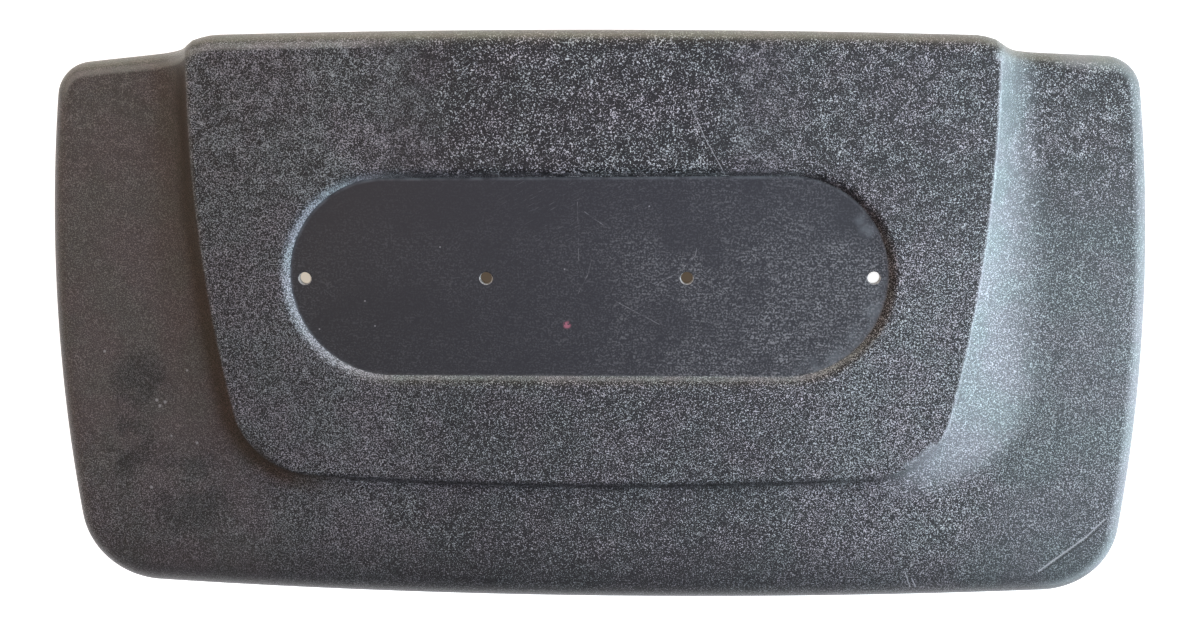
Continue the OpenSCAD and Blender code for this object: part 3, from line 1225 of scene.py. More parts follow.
@dataclass(frozen=True)
class Effects:
    """Node groups that the finishes share."""

    plan_only: tuple[float, float, float] = (1.0, 1.0, 0.0)
    grain_rise: Range = (0.55, 0.95)
    grain_tops: Range = (0.79, 0.89)
    grain_twist: float = 0.7
    fine_ratio: float = 2.1
    fine_weight: float = 0.5
    stroke_rise: Range = (0.0, 0.12)
    line_edge: Range = (1.05, 0.6)
    line_wear: float = 0.8
    line_wear_scale: float = 900.0
    spot_edge: Range = (1.0, 0.35)

    @cached_property
    def pebbles(self) -> bpy.types.NodeTree:
        """Moulded pebble grain.

        Returns:
            A group that puts out the grain's height and a mask of its tops.
        """
        bench, start, end = group_tree(
            "pebble_grain", ["Height", "Tops"], cells=Socket.VALUE, shift=Socket.VALUE
        )
        cells = start["Cells"]
        broad = bench.noise(start["Place"], cells, 1.0, self.grain_twist)
        fine = bench.noise(start["Place"], bench.math("MULTIPLY", cells, self.fine_ratio), 1.0)
        grain = bench.math("MULTIPLY_ADD", fine, self.fine_weight, broad)
        bench.feed(end["Height"], bench.spread(grain, self.grain_rise))
        bench.feed(end["Tops"], bench.spread(bench.math("ADD", grain, start["Shift"]), self.grain_tops))
        return bench.tree

    @cached_property
    def strokes(self) -> bpy.types.NodeTree:
        """Fine strokes that all run one way, as rubbing leaves them.

        Returns:
            A group that puts out their mask.
        """
        bench, start, end = group_tree(
            "rubbed_strokes", ["Mask"], turn=Socket.VALUE, stretch=Socket.VECTOR, rarity=Socket.VALUE
        )
        turned = bench.add("ShaderNodeVectorRotate", {"Vector": start["Place"], "Angle": start["Turn"]})
        stretched = bench.vector("MULTIPLY", turned.outputs[0], start["Stretch"])
        over = bench.math("SUBTRACT", bench.noise(stretched, 1.0), start["Rarity"])
        bench.feed(end["Mask"], bench.spread(over, self.stroke_rise))
        return bench.tree

    @cached_property
    def line(self) -> bpy.types.NodeTree:
        """Straight scratch between two points of the plan.

        Returns:
            A group that puts out its mask.
        """
        bench, start, end = group_tree(
            "scratch_line", ["Mask"], start=Socket.VECTOR, end=Socket.VECTOR, width=Socket.VALUE
        )
        flat = bench.vector("MULTIPLY", start["Place"], self.plan_only)
        along = bench.vector("SUBTRACT", start["End"], start["Start"])
        out = bench.vector("SUBTRACT", flat, start["Start"])
        size = bench.vector("DOT_PRODUCT", along, along)
        share = bench.math("DIVIDE", bench.vector("DOT_PRODUCT", out, along), size)
        share = bench.add("ShaderNodeClamp", {"Value": share}).outputs[0]
        foot = bench.add("ShaderNodeVectorMath", {0: along, "Scale": share}, operation="SCALE").outputs[0]
        far = bench.math("DIVIDE", bench.vector("DISTANCE", out, foot), start["Width"])
        wear = bench.noise(start["Place"], self.line_wear_scale, 1.0)
        ragged = bench.math("MULTIPLY_ADD", wear, self.line_wear, far)
        bench.feed(end["Mask"], bench.spread(ragged, self.line_edge))
        return bench.tree

    @cached_property
    def spot(self) -> bpy.types.NodeTree:
        """Soft round spot in plan.

        Returns:
            A group that puts out its mask.
        """
        bench, start, end = group_tree("soft_spot", ["Mask"], centre=Socket.VECTOR, radius=Socket.VALUE)
        flat = bench.vector("MULTIPLY", start["Place"], self.plan_only)
        far = bench.math("DIVIDE", bench.vector("DISTANCE", flat, start["Centre"]), start["Radius"])
        bench.feed(end["Mask"], bench.spread(far, self.spot_edge))
        return bench.tree

    @cached_property
    def rim(self) -> bpy.types.NodeTree:
        """Distance outside the seat's round-ended floor, in plan.

        Returns:
            A group that puts out the distance.
        """
        inputs = {"middle": Socket.VECTOR, "half_length": Socket.VALUE, "radius": Socket.VALUE}
        bench, start, end = group_tree("off_seat_floor", ["Distance"], **inputs)
        out = bench.vector("SUBTRACT", start["Place"], start["Middle"])
        place = bench.add("ShaderNodeSeparateXYZ", {0: out})
        over = bench.math("SUBTRACT", bench.math("ABSOLUTE", place.outputs["X"]), start["Half length"])
        beyond = bench.math("MAXIMUM", over, 0.0)
        both = bench.add("ShaderNodeCombineXYZ", {"X": beyond, "Y": place.outputs["Y"]})
        far = bench.vector("LENGTH", both.outputs[0])
        bench.feed(end["Distance"], bench.math("SUBTRACT", far, start["Radius"]))
        return bench.tree


class Reading(Enum):
    """What a tinted region is bounded by. The marks are attributes of the moulding's points."""

    X = "x"
    Y = "y"
    ASIDE = "distance_from_middle"
    OFF_SEAT = "distance_off_seat_floor"
    BLOTCH = "blotch"
    LIT_FLANK = "lit_flank"
    EDGE = "panel_edge"
    FOOT = "panel_foot"
    FLANK = "flank"
    BESIDE = "beside_panel"
    RIM = "outer_rim"


class Dressing(Bench):
    """Bench of one material, with what its nodes read."""

    def __init__(self, name: str, roughness: float, effects: Effects, seat: Seat) -> None:
        """Starts the material.

        Args:
            name: Name of the material.
            roughness: Its roughness.
            effects: Node groups of the scene.
            seat: Seat of the cover, round which the finishes change.
        """
        self.material = bpy.data.materials.new(name)
        self.material.use_nodes = True
        super().__init__(self.material.node_tree)
        self.shader = self.tree.nodes["Principled BSDF"]
        self.shader.inputs["Roughness"].default_value = roughness
        self.effects, self.seat = effects, seat
        self.place = self.add("ShaderNodeTexCoord").outputs["Object"]
        self.known: dict[Reading, Output] = {}

    def survey(self) -> None:
        """Reads the coordinates of the plan and the distance outside the seat's floor."""
        seat, plan = self.seat, self.add("ShaderNodeSeparateXYZ", {0: self.place})
        middle = (seat.centre.x, seat.centre.y, 0.0)
        rim = self.group(
            self.effects.rim, place=self.place, middle=middle, half_length=seat.half_len, radius=seat.floor_r
        )
        self.known |= {
            Reading.X: plan.outputs["X"],
            Reading.Y: plan.outputs["Y"],
            Reading.ASIDE: self.math("ABSOLUTE", plan.outputs["X"]),
            Reading.OFF_SEAT: rim.outputs["Distance"],
        }

    def read(self, reading: Reading) -> Output:
        """Finds a reading, and adds the attribute of a mark that is read for the first time.

        Args:
            reading: What to read.

        Returns:
            Its value.
        """
        if reading not in self.known:
            mark = self.add("ShaderNodeAttribute", attribute_name=reading.value)
            self.known[reading] = mark.outputs["Fac"]
        return self.known[reading]

    def masks(self, parts: Iterable["Maskable"]) -> list[Output]:
        """Masks of several bounds, clouds or marks."""
        return [part.mask(self) for part in parts]

    def finish(self, colour: object, height: Output | None = None, depth: float = 0.0) -> None:
        """Feeds the shader.

        Args:
            colour: Its base colour.
            height: Height of its bumps, if it has any.
            depth: Depth of the bumps.
        """
        self.feed(self.shader.inputs["Base Color"], colour)
        if height is not None:
            bump = self.add("ShaderNodeBump", {"Height": height, "Distance": depth})
            self.feed(self.shader.inputs["Normal"], bump.outputs[0])


class Maskable(Protocol):
    """Whatever adds a mask to a material."""

    def mask(self, bench: Dressing) -> Output:
        """Adds the mask."""


@dataclass(frozen=True)
class Bound:
    """Soft bound of a region: a reading, the range in which it changes and what that range becomes."""

    reads: Reading
    over: Range
    to: Range = (0.0, 1.0)
    smooth: bool = True

    def mask(self, bench: Dressing) -> Output:
        """Adds the bound's mask to a material."""
        return bench.spread(bench.read(self.reads), self.over, self.to, self.smooth)


@dataclass(frozen=True)
class Clouds:
    """Irregular clouds, by the scale and detail of their noise."""

    scale: float
    over: Range
    to: Range = (0.0, 1.0)
    detail: float = 2.0

    def mask(self, bench: Dressing) -> Output:
        """Adds the clouds' mask to a material."""
        return bench.spread(bench.noise(bench.place, self.scale, self.detail), self.over, self.to)


@dataclass(frozen=True)
class Strokes:
    """Strokes of rubbing: their turn in radians, how fine they are each way, and their rarity."""

    turn: float
    fineness: tuple[float, float]
    rarity: float

    def mask(self, bench: Dressing) -> Output:
        """Adds the strokes' mask to a material."""
        inputs = {"turn": self.turn, "stretch": (*self.fineness, 1.0), "rarity": self.rarity}
        return bench.group(bench.effects.strokes, place=bench.place, **inputs).outputs["Mask"]


@dataclass(frozen=True)
class Scratch:
    """A straight scratch, in metres of the plan."""

    start: tuple[float, float]
    end: tuple[float, float]
    width: float = 0.0004

    def mask(self, bench: Dressing) -> Output:
        """Adds the scratch's mask to a material."""
        inputs = {"start": (*self.start, 0.0), "end": (*self.end, 0.0), "width": self.width}
        return bench.group(bench.effects.line, place=bench.place, **inputs).outputs["Mask"]


@dataclass(frozen=True)
class Spot:
    """A soft round spot, in metres of the plan."""

    centre: tuple[float, float]
    radius: float

    def mask(self, bench: Dressing) -> Output:
        """Adds the spot's mask to a material."""
        inputs = {"centre": (*self.centre, 0.0), "radius": self.radius}
        return bench.group(bench.effects.spot, place=bench.place, **inputs).outputs["Mask"]


@dataclass(frozen=True)
class Region:
    """A tinted region: the colours of its ground and of the grain's tops, and its bounds."""

    ground: Colour
    tops: Colour | None
    bounds: tuple[Bound, ...]


@dataclass(frozen=True)
class Marks:
    """Scratches or spots of one colour, which are full or broken up by clouds."""

    colour: Colour
    shapes: tuple[Scratch | Spot, ...]
    strength: float = 1.0
    broken: Clouds | None = None

    def over(self, bench: Dressing, colour: object) -> Output:
        """Lays the marks over a colour.

        Args:
            bench: Bench of the material.
            colour: Colour under the marks.

        Returns:
            The colour with the marks.
        """
        strength = self.broken.mask(bench) if self.broken else self.strength
        mask = bench.product([bench.most(bench.masks(self.shapes)), strength])
        return bench.blend(mask, colour, self.colour)


@dataclass(frozen=True)
class Finish:
    """A plain plastic, mottled by clouds of a second colour."""

    name: str
    colour: Colour
    roughness: float
    mottle: Clouds
    mottle_colour: Colour

    def material(self, effects: Effects, seat: Seat) -> bpy.types.Material:
        """Makes the material.

        Args:
            effects: Node groups of the scene.
            seat: Seat of the cover, round which some finishes change.

        Returns:
            The material.
        """
        bench = Dressing(self.name, self.roughness, effects, seat)
        self.paint(bench)
        return bench.material

    def paint(self, bench: Dressing) -> None:
        """Lays the second colour over the first."""
        bench.finish(bench.blend(self.mottle.mask(bench), self.colour, self.mottle_colour))


@dataclass(frozen=True)
class UndersidePlastic(Finish):
    """The plain inner side of the moulding."""

    name: str = "underside_plastic"
    colour: Colour = (0.03, 0.03, 0.032, 1.0)
    roughness: float = 0.55
    mottle: Clouds = Clouds(25.0, (0.3, 0.7), detail=3.0)
    mottle_colour: Colour = (0.038, 0.038, 0.04, 1.0)


@dataclass(frozen=True)
class PinPlastic(Finish):
    """The burred edge and wall of a pin hole, pale partly from the plastic's whitening and partly as a
    painted highlight of the light that reaches into the hole.
    """

    name: str = "pin_plastic"
    colour: Colour = (0.12, 0.115, 0.11, 1.0)
    roughness: float = 0.3
    mottle: Clouds = Clouds(900.0, (0.35, 0.65), (0.4, 1.0))
    mottle_colour: Colour = (0.45, 0.44, 0.42, 1.0)


@dataclass(frozen=True)
class GrainedPlastic(Finish):
    """Dark charcoal plastic with a moulded pebble grain, whose tops are pale partly from wear and partly as
    painted glints of the light.
    """

    name: str = "grained_plastic"
    colour: Colour = (0.009, 0.009, 0.0105, 1.0)
    roughness: float = 0.34
    mottle: Clouds = Clouds(45.0, (0.35, 0.65))
    mottle_colour: Colour = (1.0, 0.96, 1.0, 1.0)
    cool_tint: Colour = (0.93, 1.0, 0.99, 1.0)
    tops_colour: Colour = (0.66, 0.66, 0.685, 1.0)

    # Grain: cells a metre, and how many tops are pale and where, for wear and for painted glints
    depth: float = 0.00012
    coarse_cells: float = 1450.0
    fine_cells: float = 1850.0
    fine_y: Range = (0.13, 0.06)
    fine_x: Bound = Bound(Reading.ASIDE, (0.05, 0.1))
    fine_wander: float = 0.1
    fine_wander_scale: float = 14.0
    fine_crispness: Range = (0.12, 0.78)
    clumps: Clouds = Clouds(190.0, (0.3, 0.7), (-1.0, 1.0), detail=3.0)
    clump_size: Bound = Bound(Reading.Y, (0.04, 0.08), (0.015, 0.04))
    # How thick the pale tops lie, for wear and painted glints: thickest at the far left, thinnest in the
    # middle, more at the rear right and along the painted highlight lines, fewer at the front
    density: Bound = Bound(Reading.X, (-0.05, -0.12), (-0.045, 0.0))
    right_part: tuple[Bound, ...] = (Bound(Reading.X, (0.06, 0.13)), Bound(Reading.Y, (0.06, 0.02)))
    right_density: float = 0.03
    front_part: Bound = Bound(Reading.Y, (-0.07, -0.085))
    front_density: float = -0.01
    edge_density: float = 0.05
    # Share of the tops shown pale, part wear and part painted glints, lower to the left and the front
    wear: tuple[Bound, ...] = (
        Bound(Reading.X, (-0.16, 0.02), (0.52, 1.0)),
        Bound(Reading.Y, (-0.129, -0.089), (0.35, 1.0)),
    )

    # Painted highlights along the panel's edge and on the seat's lip, and painted shade at the foot of the
    # panel's front
    rear_and_sides: Bound = Bound(Reading.Y, (-0.058, -0.046))
    # Painted highlight along the panel's crisp edge at its rear and sides, faint on the left and full on the
    # right
    edge: tuple[Bound, ...] = (
        Bound(Reading.EDGE, (0.0, 1.0), smooth=False),
        Bound(Reading.X, (-0.1, 0.12), (0.12, 1.0)),
    )
    edge_highlight_strength: float = 0.5
    # Painted shade at the foot of the panel's front, where the pale tops are hidden
    front_foot_shade: float = 0.85
    # Painted highlight on the seat's lip: a ragged pale band along the head of its wall at the left end and
    # along the front
    lip_cells: float = 1100.0
    lip_raggedness: float = 0.0036
    lip_width: Range = (0.0052, 0.0026)
    lip_end: tuple[Bound, ...] = (
        Bound(Reading.X, (-0.07, -0.118)),
        Bound(Reading.Y, (-0.035, -0.01), (0.55, 1.0)),
    )
    lip_front: tuple[Bound, ...] = (
        Bound(Reading.OFF_SEAT, (0.0015, 0.0005)),
        Bound(Reading.Y, (0.0, -0.02)),
    )
    lip_grain: float = 0.8
    lip_highlight_strength: float = 0.8
    lip_highlight_colour: Colour = (0.6, 0.63, 0.66, 1.0)

    # Tinted regions
    off_panel: Bound = Bound(Reading.BESIDE, (0.0, 0.1))
    lit_reach: Bound = Bound(Reading.Y, (0.01, -0.05), (1.0, 0.5))
    lit_bounds: tuple[Bound, ...] = (
        Bound(Reading.LIT_FLANK, (0.0, 1.0), smooth=False),
        Bound(Reading.X, (0.128, 0.16)),
        Bound(Reading.Y, (-0.085, -0.05)),
    )
    rounding: Bound = Bound(Reading.RIM, (0.35, 0.7))
    regions: tuple[Region, ...] = (
        # Dust on the left wing
        Region((0.058, 0.05, 0.048, 1.0), (0.33, 0.3, 0.29, 1.0), (
            Bound(Reading.X, (-0.13, -0.17)),
            Bound(Reading.Y, (-0.1, -0.04), (0.4, 1.0)),
            Bound(Reading.BLOTCH, (0.0, 1.0), (1.0, 0.5), smooth=False),
            off_panel,
        )),
        # Painted sheen on the right wing: pale bluish tops for the light that falls from that side
        Region((0.032, 0.037, 0.039, 1.0), (0.46, 0.49, 0.5, 1.0), (
            Bound(Reading.X, (0.16, 0.2)),
            Bound(Reading.Y, (0.09, 0.04)),
            off_panel,
        )),
        # Dark blotches on the left
        Region((0.008, 0.008, 0.009, 1.0), None, (
            Bound(Reading.BLOTCH, (0.0, 1.0), (0.0, 0.6), smooth=False),
        )),
        # Painted shade on the left flank, which faces away from the light, in a warm brown
        Region((0.028, 0.0185, 0.012, 1.0), (0.175, 0.118, 0.09, 1.0), (
            Bound(Reading.BESIDE, (1.0, 0.3)),
            Bound(Reading.X, (-0.1, -0.15)),
            off_panel,
        )),
        # Painted sheen of the light on the right flank, and on its lower end
        Region((0.195, 0.22, 0.226, 1.0), (0.72, 0.78, 0.8, 1.0), lit_bounds),
        Region((0.18, 0.2, 0.205, 1.0), (0.72, 0.78, 0.8, 1.0), (
            *lit_bounds,
            Bound(Reading.Y, (0.02, -0.03)),
        )),
        # Painted highlights on the rear and right roundings, and painted shading of the front rounding
        Region((0.115, 0.11, 0.09, 1.0), (0.25, 0.245, 0.21, 1.0), (
            rounding,
            Bound(Reading.Y, (0.1, 0.11), (0.0, 0.85)),
        )),
        Region((0.2, 0.22, 0.225, 1.0), None, (
            Bound(Reading.RIM, (0.0, 0.5)),
            Bound(Reading.X, (0.2, 0.215), (0.0, 0.85)),
        )),
        Region((0.024, 0.026, 0.026, 1.0), (0.24, 0.245, 0.235, 1.0), (
            rounding,
            Bound(Reading.Y, (-0.11, -0.118), (0.0, 0.7)),
        )),
        # Glint along the rear of the left wing
        Region((0.24, 0.24, 0.225, 1.0), None, (
            Bound(Reading.RIM, (0.02, 0.2)),
            Bound(Reading.RIM, (0.55, 0.3), (0.0, 0.6)),
            Bound(Reading.X, (-0.07, -0.11)),
            Bound(Reading.Y, (0.1, 0.11)),
        )),
    )

    # Marks
    blotch_fade: float = 0.5
    blotch_gaps: Clouds = Clouds(70.0, (0.35, 0.6), detail=3.0)
    blotches: tuple[Spot, ...] = (
        Spot((-0.2188, -0.0589), 0.022),
        Spot((-0.1899, -0.0790), 0.028),
        Spot((-0.2082, -0.0274), 0.02),
    )
    marks: tuple[Marks, ...] = (
        # Dark side of the long scratch in the right front corner
        Marks((0.008, 0.008, 0.009, 1.0), (
            Scratch((0.2069, -0.1143), (0.2277, -0.0981), 0.0009),
            Scratch((0.2277, -0.0981), (0.2355, -0.0900), 0.0008),
        ), strength=0.7),
        # Scratches
        Marks((0.42, 0.42, 0.44, 1.0), (
            Scratch((0.2061, -0.1134), (0.2269, -0.0972), 0.0009),
            Scratch((0.2269, -0.0972), (0.2347, -0.0891), 0.0008),
            Scratch((0.1456, -0.1146), (0.1482, -0.1219), 0.0006),
            Scratch((0.1486, -0.1173), (0.1508, -0.1216), 0.0006),
            Scratch((0.0451, 0.0993), (0.0530, 0.0823), 0.0004),
            Scratch((0.0530, 0.0823), (0.0622, 0.0660), 0.00035),
        ), strength=0.7),
        # Specks
        Marks((0.3, 0.3, 0.31, 1.0), (
            Spot((-0.2018, -0.0358), 0.0011),
            Spot((-0.1978, -0.0367), 0.001),
            Spot((-0.2004, -0.0385), 0.001),
            Spot((-0.2257, -0.0129), 0.0009),
            Spot((-0.2065, -0.0776), 0.001),
            Spot((-0.1860, -0.0214), 0.0009),
            Spot((-0.1833, -0.0560), 0.0009),
            Spot((-0.1956, -0.0528), 0.0007),
            Spot((0.1436, -0.1053), 0.001),
            Spot((0.1484, -0.1109), 0.0009),
        )),
    )

    def paint(self, bench: Dressing) -> None:
        """Paints the grain, its wear, the tinted regions and the marks.

        Args:
            bench: Bench of the material.
        """
        bench.survey()
        blotch = bench.product([bench.most(bench.masks(self.blotches)), self.blotch_gaps.mask(bench)])
        lit_flank = bench.spread(bench.read(Reading.FLANK), (0.0, self.lit_reach.mask(bench)))
        bench.known |= {Reading.BLOTCH: blotch, Reading.LIT_FLANK: lit_flank}
        lip, edge, foot = self.lines(bench)
        height, tops = self.grain(bench, bench.most([lip, edge]))
        # Pale tops for wear and painted glints, and along the painted highlight lines
        wear_and_glints = bench.most([bench.product(bench.masks(self.wear)), lip, edge])
        clean = bench.math("MULTIPLY_ADD", blotch, -self.blotch_fade, 1.0)
        # The painted shade at the foot of the panel's front hides the pale tops
        shown = bench.product([wear_and_glints, tops, clean, bench.math("SUBTRACT", 1.0, foot)])
        ground, raised = self.tinted(bench)
        colour = bench.blend(shown, ground, raised)
        # The lip's painted highlight follows the grain's tops
        rubbed = bench.math("MULTIPLY_ADD", tops, self.lip_grain, 1.0 - self.lip_grain)
        # Painted highlights of the seat's lip, broken up by the grain, and of the panel's edge
        painted_highlight = bench.most([bench.product([lip, rubbed]), bench.product([edge, self.edge_highlight_strength])])
        colour = bench.blend(bench.product([painted_highlight, self.lip_highlight_strength]), colour, self.lip_highlight_colour)
        tint = bench.blend(self.mottle.mask(bench), self.cool_tint, self.mottle_colour)
        colour = bench.blend(1.0, colour, tint, "MULTIPLY")
        for marks in self.marks:
            colour = marks.over(bench, colour)
        bench.finish(colour, height, self.depth)

    def lines(self, bench: Dressing) -> tuple[Output, Output, Output]:
        """Masks of the lines that stand out.

        Args:
            bench: Bench of the material.

        Returns:
            The painted highlight on the seat's lip, the painted highlight along the panel's edge and the
            painted shade at the foot of its front.
        """
        # Ragged band of the lip's painted highlight, at the seat's left end and along its front
        wander = bench.noise(bench.place, self.lip_cells, 1.0)
        ragged = bench.math("MULTIPLY_ADD", wander, self.lip_raggedness, bench.read(Reading.OFF_SEAT))
        parts = [bench.product(bench.masks(part)) for part in (self.lip_end, self.lip_front)]
        lip = bench.product([bench.spread(ragged, self.lip_width), bench.most(parts)])
        side = self.rear_and_sides.mask(bench)
        edge = bench.product([*bench.masks(self.edge), side])
        # Painted shade of the foot, kept to the front
        front = bench.math("MULTIPLY_ADD", side, -self.front_foot_shade, self.front_foot_shade)
        return lip, edge, bench.product([bench.read(Reading.FOOT), front])

    def grain(self, bench: Dressing, raised: Output) -> tuple[Output, Output]:
        """Adds the pebble grain, which is coarse at the middle of the rear and fine elsewhere.

        Args:
            bench: Bench of the material.
            raised: Mask of the painted highlight lines, where more of the grain's tops are pale.

        Returns:
            The grain's height, and a mask of its pale tops, which stand for wear and for painted glints.
        """
        right = bench.product(bench.masks(self.right_part))
        density = bench.math("MULTIPLY_ADD", right, self.right_density, self.density.mask(bench))
        density = bench.math("MULTIPLY_ADD", self.front_part.mask(bench), self.front_density, density)
        density = bench.math("ADD", bench.math("MULTIPLY", raised, self.edge_density), density)
        shift = bench.math("MULTIPLY_ADD", self.clumps.mask(bench), self.clump_size.mask(bench), density)
        coarse, fine = (
            bench.group(bench.effects.pebbles, place=bench.place, cells=cells, shift=shift).outputs
            for cells in (self.coarse_cells, self.fine_cells)
        )
        wander = bench.noise(bench.place, self.fine_wander_scale)
        rearward = bench.math("MULTIPLY_ADD", wander, self.fine_wander, bench.read(Reading.Y))
        share = bench.most([bench.spread(rearward, self.fine_y), self.fine_x.mask(bench)])
        fine_tops = bench.spread(fine["Tops"], self.fine_crispness)
        return (
            bench.mixed(share, coarse["Height"], fine["Height"]),
            bench.mixed(share, coarse["Tops"], fine_tops),
        )

    def tinted(self, bench: Dressing) -> tuple[Output, Output]:
        """Lays the tinted regions over the plain plastic, one after the other.

        Args:
            bench: Bench of the material.

        Returns:
            The colour of the ground and that of the pale tops.
        """
        ground, tops = self.colour, self.tops_colour
        for region in self.regions:
            mask = bench.product(bench.masks(region.bounds))
            ground = bench.blend(mask, ground, region.ground)
            tops = bench.blend(mask, tops, region.tops) if region.tops else tops
        return ground, tops


@dataclass(frozen=True)
class SeatPlastic(Finish):
    """The smooth, scuffed plastic of the seat's floor."""

    name: str = "seat_plastic"
    colour: Colour = (0.026, 0.028, 0.031, 1.0)
    roughness: float = 0.4
    mottle: Clouds = Clouds(38.0, (0.25, 0.55), (0.25, 1.0))
    mottle_colour: Colour = (0.24, 0.245, 0.25, 1.0)

    # Scuffs
    scuff_depth: float = 0.00002
    scuffed: tuple[Bound, ...] = (
        Bound(Reading.X, (-0.03, 0.075), (0.18, 1.0)),
        Bound(Reading.Y, (0.06, 0.03), (0.35, 1.0)),
    )
    dots: Clouds = Clouds(1200.0, (0.45, 0.63))
    level_strokes: Strokes = Strokes(0.05, (140.0, 1300.0), 0.44)
    level_weight: float = 0.6
    slant_strokes: tuple[Strokes | Bound, ...] = (
        Strokes(-0.45, (150.0, 1700.0), 0.62),
        Bound(Reading.Y, (0.02, 0.05), (0.0, 0.5)),
        Bound(Reading.ASIDE, (0.06, 0.02), (0.0, 0.7)),
    )

    # Painted reflection, pale bluish, at the right end and along the foot of the wall
    reflection_colour: Colour = (0.2, 0.225, 0.24, 1.0)
    reflection_strength: float = 0.8
    reflection_end: tuple[Bound, ...] = (
        Bound(Reading.OFF_SEAT, (-0.012, 0.0)),
        Bound(Reading.X, (0.082, 0.12)),
        Bound(Reading.Y, (0.026, 0.014)),
    )
    reflection_line: Bound = Bound(Reading.OFF_SEAT, (-0.0016, -0.0006), (0.0, 0.5))
    reflection_spots: tuple[Spot, ...] = (Spot((0.1241, 0.0432), 0.0052), Spot((0.1212, 0.0478), 0.0042))
    reflection_spot_strength: float = 0.6
    reflection_gaps: Clouds = Clouds(170.0, (0.25, 0.7), detail=4.0)

    # Marks
    marks: tuple[Marks, ...] = (
        # Scratches
        Marks((0.4, 0.4, 0.41, 1.0), (
            Scratch((0.0025, 0.0301), (0.0012, 0.0240), 0.00042),
            Scratch((0.0012, 0.0240), (-0.0036, 0.0147), 0.00038),
            Scratch((-0.0034, 0.0558), (-0.0032, 0.0463), 0.00032),
            Scratch((-0.0032, 0.0400), (-0.0031, 0.0286), 0.0003),
            Scratch((-0.0003, 0.0515), (0.0092, 0.0447), 0.00034),
            Scratch((0.0138, 0.0110), (0.0328, 0.0008), 0.00036),
            Scratch((0.0494, 0.0353), (0.0488, 0.0319), 0.0004),
            Scratch((0.0488, 0.0319), (0.0457, 0.0287), 0.0006),
            Scratch((0.0457, 0.0287), (0.0409, 0.0241), 0.0005),
            Scratch((0.0409, 0.0241), (0.0310, 0.0185), 0.0004),
            Scratch((0.1159, 0.0361), (0.1163, 0.0324), 0.0006),
        ), broken=Clouds(420.0, (0.4, 0.6), (0.06, 0.38))),
        # Spot of paint
        Marks((0.42, 0.14, 0.19, 1.0), (
            Spot((-0.0088, 0.0005), 0.0023),
        ), broken=Clouds(700.0, (0.42, 0.56))),
        # Specks
        Marks((0.4, 0.4, 0.41, 1.0), (
            Spot((0.0284, 0.0538), 0.0005),
            Spot((-0.0095, 0.0258), 0.0005),
            Spot((-0.0653, 0.0359), 0.0005),
            Spot((-0.1005, 0.0114), 0.0005),
            Spot((-0.0964, -0.0001), 0.0005),
            Spot((-0.1221, -0.0016), 0.0005),
        ), strength=0.7),
    )

    def paint(self, bench: Dressing) -> None:
        """Paints the scuffs, the painted reflection and the marks.

        Args:
            bench: Bench of the material.
        """
        bench.survey()
        region = bench.product(bench.masks([*self.scuffed, self.mottle]))
        level = self.level_strokes.mask(bench)
        level = bench.math("MULTIPLY_ADD", level, self.level_weight, 1.0 - self.level_weight)
        dotted = bench.product([self.dots.mask(bench), level, region])
        rubbed = bench.most([dotted, bench.product(bench.masks(self.slant_strokes))])
        # Painted reflection: patches at the right end, a line along the foot of the wall and two spots
        spots = bench.product([bench.most(bench.masks(self.reflection_spots)), self.reflection_spot_strength])
        painted_reflection = bench.most([bench.product(bench.masks(self.reflection_end)), self.reflection_line.mask(bench), spots])
        painted_reflection = bench.product([painted_reflection, self.reflection_gaps.mask(bench), self.reflection_strength])
        colour = bench.blend(rubbed, self.colour, self.mottle_colour)
        colour = bench.blend(painted_reflection, colour, self.reflection_colour)
        for marks in self.marks:
            colour = marks.over(bench, colour)
        bench.finish(colour, rubbed, self.scuff_depth)


